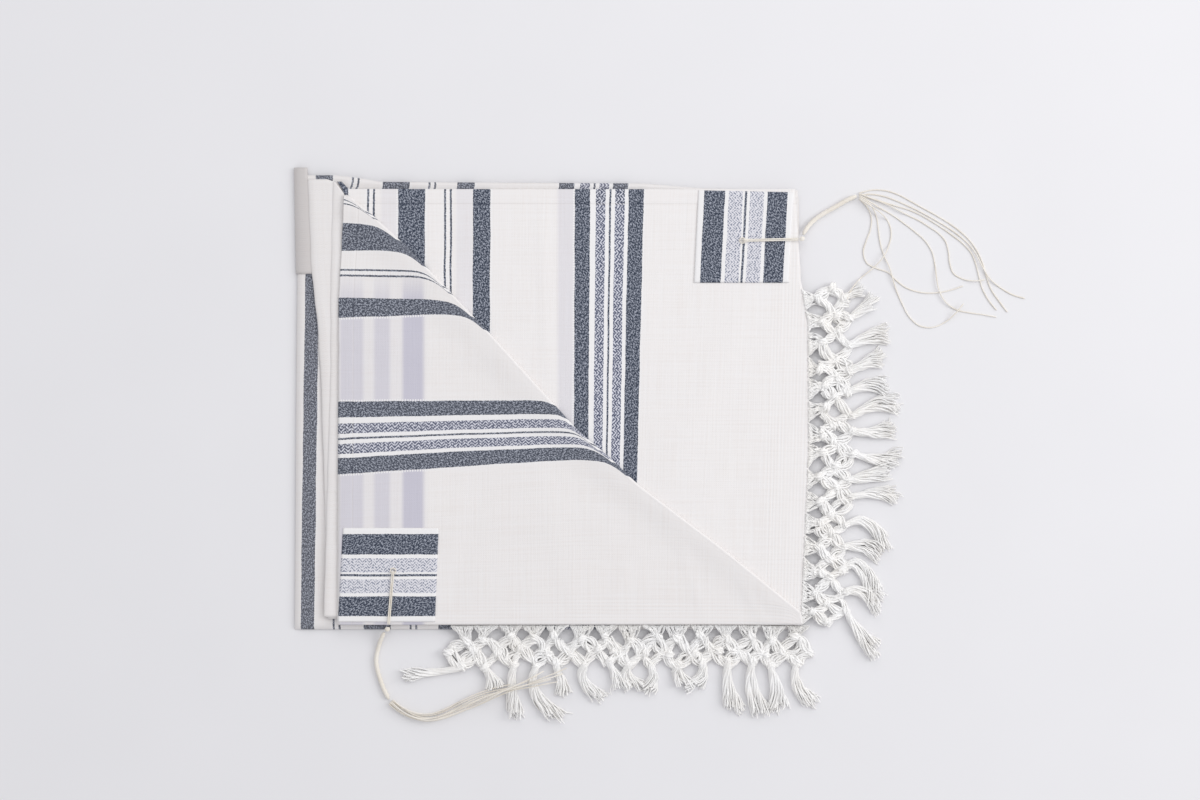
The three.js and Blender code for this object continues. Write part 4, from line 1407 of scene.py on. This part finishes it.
UPPER_EYELET = (145.3, 214.7)
LOWER_EYELET = (-209.6, -120.9)
UPPER_WOUND = ((207.2, 221), (213, 230), (221, 237.5), (230, 243.5), (240, 249), (251, 255.5), (262, 260.5))
UPPER_STRANDS = (
    ((264.5, 263.6), (273, 265.8), (284, 267), (296, 265), (309, 260), (322, 252.5), (336, 245), (350, 237),
     (362, 229), (374, 219), (383, 208), (390, 194), (394, 180), (399, 166), (407, 154), (416, 142)),
    ((264.5, 261.7), (273, 262.4), (285, 261.6), (298, 257.5), (312, 251.8), (326, 245), (338, 238.6),
     (351, 231), (363, 223), (375, 213), (384, 201), (391, 187), (399, 175), (409, 167), (421, 160),
     (434, 156)),
    ((264.5, 259.8), (274, 259), (285, 255.6), (298, 251.6), (314, 247), (328, 241), (340, 234),
     (353, 225.5), (365, 216.5), (376, 207), (382, 196), (386, 183), (389, 170), (395, 157), (405, 144)),
    ((264.5, 257.9), (271, 252), (276, 243), (277.5, 233), (275, 222), (271, 212), (269, 202), (272, 193),
     (280, 187.5), (292, 184), (301, 176), (311, 168), (324, 163), (339, 161.5), (356, 164), (371, 169)),
    ((264.5, 263.2), (276, 258.5), (294, 251.5), (310, 243), (325, 236), (337, 228.5), (347, 221.5),
     (353.5, 213), (356, 203), (357, 193), (360, 183), (368, 177), (379, 174), (393, 175)),
    ((264.5, 261.4), (276, 254), (290, 246), (302, 239), (314, 230), (326, 220.5), (336, 210), (341, 197),
     (343, 182), (345, 168), (350, 156), (359, 147), (371, 142.5), (386, 140.5), (405, 137)),
    ((264.5, 259.5), (274, 253), (281, 244), (284, 229), (286, 214), (290, 200), (295.5, 188), (299.5, 174),
     (304, 161), (310, 148), (317, 136), (327, 128), (339, 126.5), (351, 131), (362, 140), (371, 151)),
    ((264.5, 257.6), (275, 250.5), (286, 243), (294, 235), (297.5, 223), (295, 210), (290, 199.5),
     (283, 191), (274, 183), (264, 174.5), (256.5, 165), (252, 155)),
)
LOWER_WOUND = (
    (-219, -184), (-222.5, -191.5), (-225.5, -201), (-227.5, -211), (-226.5, -221.5), (-223.5, -232),
    (-219.5, -243), (-214.5, -252.5),
)
LOWER_BUNDLE = (
    (-212.8, -255), (-206, -261), (-196, -267), (-185, -271), (-173, -272), (-160, -269), (-147, -263.5),
    (-135, -258), (-122, -252.5), (-107, -246.5), (-90, -241.5), (-74, -237), (-57, -231.5), (-44, -227.5),
    (-32, -223.5),
)
# How far each lower strand lies beside the bundle at its start, middle and end, and its share of it.
LOWER_BESIDE = (
    (-2.85, 2.6, -8.5, 0.93), (-0.95, -5.2, 3.5, 1.0), (0.95, 4.6, -4.5, 0.9), (2.85, -2.8, 9.0, 0.84),
    (-2.85, -0.4, 6.4, 0.78), (-0.95, 1.2, -1.0, 0.97), (0.95, -4.0, 11.5, 0.88), (2.85, 6.4, 1.4, 0.7),
)
RIGHT_FRINGE = (
    (-233, 210.5, 268), (-205, 210.5, 285), (-177, 210.5, 287), (-126, 210.5, 292), (-95, 212, 296),
    (-60, 213, 310), (-35, 214, 310), (45, 215, 310), (100, 215, 311.6), (125, 215, 302), (150, 213, 285),
    (170, 211, 252),
)
FRONT_FRINGE = (
    (-200, -206, -234), (-160, -190, -240), (-148, -183, -246), (-101, -183, -260), (-76, -183, -280),
    (-61, -183, -289.2), (-40, -183, -275), (0, -183, -259), (46, -183, -246), (80, -183, -244),
    (107, -183, -256), (143, -183, -289.2), (169, -183, -280), (209, -183, -268),
)


def smooth_path(points: Sequence[Sequence[float]], count: int) -> Grid:
    """Evenly spaced points on a smooth curve through a route.

    Args:
        points: The route's points, of two or three numbers.
        count: How many points to give.

    Returns:
        The points, as an array.
    """
    route = np.array(points, dtype=float)
    ends = np.concatenate([[2 * route[0] - route[1]], route, [2 * route[-1] - route[-2]]])
    dense = []
    for p0, p1, p2, p3 in zip(ends, ends[1:], ends[2:], ends[3:]):
        for t in np.linspace(0, 1, 12, endpoint=False):
            dense.append(0.5 * (2 * p1 + (p2 - p0) * t + (2 * p0 - 5 * p1 + 4 * p2 - p3) * t**2
                                + (3 * p1 - p0 - 3 * p2 + p3) * t**3))
    dense.append(route[-1])
    line = np.array(dense)
    run = np.concatenate([[0], np.cumsum(np.linalg.norm(np.diff(line, axis=0), axis=1))])
    places = np.linspace(0, run[-1], count)
    return np.stack([np.interp(places, run, line[:, k]) for k in range(line.shape[1])], axis=-1)


def path_length(path: Grid) -> float:
    """Length of a path."""
    return float(np.linalg.norm(np.diff(path, axis=0), axis=1).sum())


class Settling:
    """Lays strands one after the other on the table, the fringe and each other."""

    strand = 1.4
    gap = 0.3
    table_gap = 0.05
    steps = 15
    fringe_root = 8.5
    fringe_tip = 2.5

    def __init__(self) -> None:
        """Start with nothing laid."""
        self.laid: list[Grid] = []

    def fringe(self, table: Sequence[tuple[float, float, float]], along: float, out: float) -> float:
        """Height of a fringe over a place, or none."""
        rows = np.array(table, dtype=float)
        if not rows[0, 0] <= along <= rows[-1, 0]:
            return 0.0
        root = float(np.interp(along, rows[:, 0], rows[:, 1]))
        tip = float(np.interp(along, rows[:, 0], rows[:, 2]))
        share = (out - root) / (tip - root)
        if not 0 <= share <= 1:
            return 0.0
        return self.fringe_root + (self.fringe_tip - self.fringe_root) * share

    def need(self, x: float, y: float) -> float:
        """Lowest height that a strand's middle can have at a place."""
        ground = max(self.fringe(RIGHT_FRINGE, y, x), self.fringe(FRONT_FRINGE, x, y))
        height = ground + self.strand / 2 + (self.gap if ground > 0 else self.table_gap)
        reach = self.strand + self.gap
        for path in self.laid:
            start, end = path[:-1], path[1:]
            run = (end - start)[:, :2]
            here = np.array((x, y)) - start[:, :2]
            share = np.clip((here * run).sum(axis=1) / np.maximum((run * run).sum(axis=1), 1e-9), 0, 1)
            apart = np.linalg.norm(here - run * share[:, None], axis=1)
            near = apart < reach
            if near.any():
                height = max(height, float(np.maximum(start[near, 2], end[near, 2]).max()) + reach)
        return height

    def lay(self, route: Sequence[Sequence[float]]) -> Grid:
        """Lay a strand along a route seen from above.

        Args:
            route: Its points, in millimetres.

        Returns:
            The points of its middle line, with their heights.
        """
        flat = smooth_path(route, self.steps + 1)
        needs = []
        for start, end in zip(flat, flat[1:]):
            shares = np.linspace(0, 1, 11)
            needs.append(max(self.need(*(start + (end - start) * t)) for t in shares))
        heights = [max(needs[max(i - 1, 0)], needs[min(i, len(needs) - 1)]) for i in range(len(flat))]
        path = np.column_stack([flat, heights])
        self.laid.append(path)
        return path


def twisted_tube(
    name: str, path: Grid, diameter: float, plies: int, pitch: float, depth: float
) -> bpy.types.Mesh:
    """A thread of several plies twisted together, or a cord with a winding round it.

    Args:
        name: The mesh's name.
        path: Its middle line, in millimetres.
        diameter: Its diameter.
        plies: How many ridges run round it.
        pitch: Length of one turn.
        depth: Depth of the valleys between them, as a share of the radius.

    Returns:
        The mesh, closed at both ends.
    """
    sides = 10
    count = max(8, int(path_length(path) / max(diameter * 0.42, 0.5)))
    line = smooth_path(path, count)
    tangent = np.gradient(line, axis=0)
    tangent /= np.linalg.norm(tangent, axis=1, keepdims=True)
    side = np.cross(tangent, (0.0, 0.0, 1.0))
    side /= np.maximum(np.linalg.norm(side, axis=1, keepdims=True), 1e-9)
    lift = np.cross(side, tangent)
    run = np.linspace(0, path_length(line), count)
    points, faces = [], []
    for k in range(count):
        taper = min(1.0, 0.55 + k * 0.25, 0.55 + (count - 1 - k) * 0.25)
        for i in range(sides):
            angle = 2 * math.pi * i / sides
            ridge = abs(math.sin(plies / 2 * (angle + 2 * math.pi * run[k] / pitch)))
            radius = diameter / 2 * taper * (1 - depth + depth * ridge)
            points.append(line[k] + (side[k] * math.cos(angle) + lift[k] * math.sin(angle)) * radius)
    for k in range(count - 1):
        for i in range(sides):
            j = (i + 1) % sides
            faces.append((k * sides + i, (k + 1) * sides + i, (k + 1) * sides + j, k * sides + j))
    faces.append(tuple(range(sides)))
    faces.append(tuple(reversed(range((count - 1) * sides, count * sides))))
    mesh = bpy.data.meshes.new(name)
    mesh.from_pydata((np.array(points) * MM).tolist(), [], faces)
    mesh.polygons.foreach_set("use_smooth", [True] * len(mesh.polygons))
    return mesh


@dataclass
class CornerTassel:
    """A corner's tassel, from its eyelet to the ends of its strands."""

    name: str
    eyelet: tuple[float, float]
    loop_end: tuple[float, float]
    knot: tuple[float, float, float]
    wound: Sequence[tuple[float, float]]
    wound_start: float
    routes: Sequence[Sequence[Sequence[float]]]
    heights: Callable[[Grid, Grid], Grid]
    thread: bpy.types.Material
    loop_diameter: float = 1.5
    wound_diameter: float = 5.0
    strand_diameter: float = 1.4
    fall: float = 2.6

    def surface(self, x: float, y: float) -> float:
        """Top of the patch at a place."""
        places = np.array([x]), np.array([y])
        return float((self.heights(*places) + creases_at(*places))[0]) + LAY.step + LAY.wall / 2

    def add(self, label: str, mesh: bpy.types.Mesh) -> bpy.types.Object:
        """Add one of the tassel's pieces, standing for the frame's node of the same name."""
        mesh.name = label
        piece = bpy.data.objects.new(label + "_thread", mesh)
        bpy.context.scene.collection.objects.link(piece)
        place_piece(piece, "tassel_thread", self.thread, label)
        return piece

    def loop(self, side: int) -> Grid:
        """Middle line of a loop thread on the patch."""
        start, end = np.array(self.eyelet), np.array(self.loop_end)
        length = float(np.linalg.norm(end - start))
        along = (end - start) / length
        beside = np.array((-along[1], along[0])) * side * (self.loop_diameter + 0.1) / 2
        rows = ((0, 0.1), (1.5, 1.5), (4.1, 1.5), (9.7, 0.1), ((length + 12) / 2, 0.1), (length, 0.1))
        points = []
        for run, lift in rows:
            x, y = start + along * run + beside
            points.append((x, y, self.surface(x, y) + 0.3 + self.loop_diameter / 2 + lift))
        return np.array(points)

    def build(self) -> None:
        """Build every piece of the tassel."""
        self.build_eyelet()
        for number, side in enumerate((-1, 1), start=1):
            path = self.loop(side)
            mesh = twisted_tube("loop", path, self.loop_diameter, 3, 5.0, 0.2)
            piece = self.add(f"{self.name}_tzitzit_loop_{number}", mesh)
        self.build_knot()
        lowest = self.wound_diameter / 2 + 0.05
        heights = [max(lowest, self.wound_start - i * self.fall) for i in range(len(self.wound))]
        path = np.column_stack([np.array(self.wound, dtype=float), heights])
        mesh = twisted_tube("wound", path, self.wound_diameter, 2, 11.0, 0.32)
        self.add(f"{self.name}_tzitzit_wound", mesh)
        settling = Settling()
        for number, route in enumerate(self.routes, start=1):
            path = settling.lay(route)
            mesh = twisted_tube("strand", path, self.strand_diameter, 2, 4.6, 0.3)
            piece = self.add(f"{self.name}_tzitzit_strand_{number}", mesh)

    def build_eyelet(self) -> None:
        """The ring of thread worked round the eyelet."""
        turns = np.linspace(0, 2 * math.pi, 26)
        x, y = self.eyelet
        height = np.full_like(turns, self.surface(x, y) + 0.55)
        ring = np.stack([x + 2.7 * np.cos(turns), y + 2.7 * np.sin(turns), height], axis=-1)
        mesh = twisted_tube("eyelet", ring, 1.4, 3, 2.2, 0.25)
        self.add(f"{self.name}_eyelet", mesh)

    def build_knot(self) -> None:
        """The knot at the cloth's edge: the thread wrapped three times round."""
        turns = np.linspace(0, 2 * math.pi * 3.5, 60)
        share = np.linspace(-1, 1, 60)
        swell = 1.9 * np.sqrt(np.clip(1 - (share * 0.75) ** 2, 0.1, 1))
        x, y, z = self.knot
        path = np.stack([x + swell * np.cos(turns), y + share * 1.6, z + swell * np.sin(turns)], axis=-1)
        self.add(f"{self.name}_tzitzit_knot", twisted_tube("knot", path, 2.0, 2, 4.0, 0.2))


def lower_routes() -> list[Grid]:
    """Routes of the lower strands, beside the middle of their bundle."""
    middle = smooth_path(LOWER_BUNDLE, 201)
    tangent = np.gradient(middle, axis=0)
    tangent /= np.linalg.norm(tangent, axis=1, keepdims=True)
    routes = []
    for start, half, end, share in LOWER_BESIDE:
        route = []
        for u in np.linspace(0, share, 15):
            k = int(round(u * 200))
            beside = start + (half - start) * 2 * u if u < 0.5 else half + (end - half) * 2 * (u - 0.5)
            route.append((middle[k, 0] - tangent[k, 1] * beside, middle[k, 1] + tangent[k, 0] * beside))
        routes.append(np.array(route))
    return routes


# ---------------------------------------------------------------------------------------------
# The room


@dataclass(frozen=True)
class Studio:
    """A pale floor, soft light from the front right, and a camera straight above."""

    across: float = 1.224
    middle: tuple[float, float] = (0.0005, 0.0525)
    distance: float = 3.2
    sensor: float = 36.0

    def build(self) -> None:
        """Make the floor, the lights and the camera."""
        scene = bpy.context.scene
        scene.view_settings.view_transform = "Standard"
        self.floor()
        self.sun_panel("soft_key", (3.2, 0.7, 2.3), 2.2, 58.5)
        self.sun_panel("soft_fill", (0.3, 2.0, 2.6), 3.0, 25.5)
        world = bpy.data.worlds.new("studio")
        world.use_nodes = True
        back = world.node_tree.nodes["Background"]
        back.inputs[0].default_value = (0.97, 0.97, 1.0, 1)
        back.inputs[1].default_value = 0.66
        scene.world = world
        camera = bpy.data.objects.new("camera", bpy.data.cameras.new("camera"))
        camera.data.sensor_width = self.sensor
        camera.data.lens = self.sensor * self.distance / self.across
        camera.location = (*self.middle, self.distance)
        scene.collection.objects.link(camera)
        scene.camera = camera

    def sun_panel(self, name: str, place: tuple[float, float, float], size: float, power: float) -> None:
        """A large soft lamp aimed at the shawl."""
        lamp = bpy.data.lights.new(name, "AREA")
        lamp.size = size
        lamp.energy = power
        holder = bpy.data.objects.new(name, lamp)
        holder.location = place
        aim = Vector((0, 0, 0)) - Vector(place)
        holder.rotation_euler = aim.to_track_quat("-Z", "Y").to_euler()
        bpy.context.scene.collection.objects.link(holder)

    def floor(self) -> None:
        """The pale floor."""
        mesh = bpy.data.meshes.new("floor")
        mesh.from_pydata([(-6, -6, 0), (6, -6, 0), (6, 6, 0), (-6, 6, 0)], [], [(0, 1, 2, 3)])
        floor = bpy.data.objects.new("floor", mesh)
        bpy.context.scene.collection.objects.link(floor)
        material = bpy.data.materials.new("floor_paper")
        material.use_nodes = True
        graph = Graph(material.node_tree)
        shader = material.node_tree.nodes["Principled BSDF"]
        grain = graph.noise(graph.node("ShaderNodeTexCoord").outputs["Object"], 6, 2)
        paper = graph.mix(grain, (0.80, 0.795, 0.81, 1), (0.83, 0.825, 0.84, 1))
        graph.put(shader.inputs["Base Color"], paper)
        shader.inputs["Roughness"].default_value = 0.9
        mesh.materials.append(material)


# ---------------------------------------------------------------------------------------------
# The shawl


@dataclass
class Tallit:
    """The whole folded shawl."""

    finishes: Finishes = field(default_factory=Finishes)

    def build_cloth(self) -> None:
        """Every stretch of cloth, from the bottom up."""
        f = self.finishes
        LayerStack(f.under).build()
        UnderPanel("under_cloth", "under_panel", f.under, (0.53, 0.48)).build()
        Neckband("neckband_cloth", "neckband", f.band, (0.108, 0.026), slot="neckband_cloth",
                 front=181.0, back=289.2, back_edge=((-320, 289.2), (0, 289.2)), right_edge=NECK_RIGHT,
                 rolled_front=False, columns=10, roll=12.0, rise=LAY.step + LAY.gap).build()
        CurledFold("middle_cloth", "middle_fold", f.under, (0.495, 0.44), step=5.0, inset=-2.0,
                   heights=LAY.middle, curl=2.2, reach=9.0).build()
        CurledFold("strip_cloth", "fold_strip", f.under, (0.022, 0.44), left=STRIP_LEFT, right=STRIP_RIGHT,
                   front=-168.0, curl=1.2, heights=LAY.upper, reach=5.0, step=2.5, columns=8).build()
        UpperPanel("upper_cloth", "upper_panel", f.panel, (0.47, 0.436), step=2.8).build()
        corner = TurnedCorner("turned_cloth", "turned_corner", f.turned, (0.48, 0.436), step=2.4,
                              area=0.5 * 0.47 * 0.44)
        corner.build()
        Patch("upper_patch_cloth", "upper_patch", f.patch, (0.096, 0.094), slot="patch_cloth",
              corners=((95.9, 171.9), (192.3, 171.9), (197.4, 263.7), (100.5, 265.7)), eyelet=UPPER_EYELET,
              heights=LAY.upper).build()
        Patch("lower_patch_cloth", "lower_patch", f.patch, (0.098, 0.096), slot="patch_cloth",
              corners=((-265.7, -172.9), (-167.3, -172.9), (-163.7, -77.5), (-260.6, -77.5)),
              eyelet=LOWER_EYELET, heights=corner.height, bands_across=False).build()

    def build_fringe(self) -> None:
        """Both fringed edges."""
        tree = YarnTree().build()
        right = (
            (10, 22, 3), (18, 26, 4), (12, 42, 5), (16, 38, 5), (6, 46, 6), (9, 50, 9), (6, 50, -2),
            (-3, 54, -5), (13, 46, 2), (-2, 50, 3), (-20, 46, 9), (-6, 42, 2), (-32, 40, 12),
            (-18, 38, 2), (-42, 36, -16),
        )
        front = (
            (-58, 8, -5), (10, 26, 4), (4, 56, -4), (26, 58, -6), (10, 36, 3), (20, 38, -4), (16, 32, 3),
            (8, 27, -3), (-4, 26, 4), (12, 24, -3), (-12, 26, 3), (8, 60, -3), (14, 60, -4), (8, 50, 4),
            (18, 44, -4),
        )
        wool = self.finishes.wool
        Fringe("right_fringe_yarn", "right_fringe", self.right_edge, (1.0, 0.0),
               tuple(TasselRow(*row) for row in right), 342.0, tree, wool, 11).build()
        Fringe("front_fringe_yarn", "front_fringe", self.front_edge, (0.0, -1.0),
               tuple(TasselRow(*row) for row in front), 366.0, tree, wool, 23,
               root_height=8.8, rows=(12.0, 25.0, 38.0)).build()

    @staticmethod
    def right_edge(along: float) -> tuple[float, float]:
        """A place on the upper panel's fringed edge, from its back end."""
        y = 166 - along
        return float(edge_at(UPPER_RIGHT, y)) + 0.5, y

    @staticmethod
    def front_edge(along: float) -> tuple[float, float]:
        """A place on the turned corner's fringed edge, from its left end."""
        return -152 + along, -178.5

    def build_tassels(self) -> None:
        """Both corner tassels that show."""
        thread = self.finishes.thread
        corner = TurnedCorner("", "", self.finishes.turned, (0.1, 0.1))
        CornerTassel("upper", UPPER_EYELET, (202.4, 216), (206.1, 216.4, 9.4), UPPER_WOUND, 6.8,
                     UPPER_STRANDS, LAY.upper, thread).build()
        CornerTassel("lower", LOWER_EYELET, (-214.2, -175.5), (-215.6, -180.4, 10.6), LOWER_WOUND, 7.6,
                     lower_routes(), corner.height, thread).build()


def corners(box: tuple[Vector, Vector]) -> list[list[float]]:
    """A box as plain lists of numbers."""
    return [[float(v) for v in corner] for corner in box]


def main() -> None:
    """Build the room and the shawl."""
    logging.basicConfig(level=logging.INFO, format="%(name)s: %(message)s")
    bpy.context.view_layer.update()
    Studio().build()
    shawl = Tallit()
    shawl.build_tassels()
    shawl.build_cloth()
    shawl.build_fringe()
    bpy.context.view_layer.update()


if __name__ == "__main__":
    main()
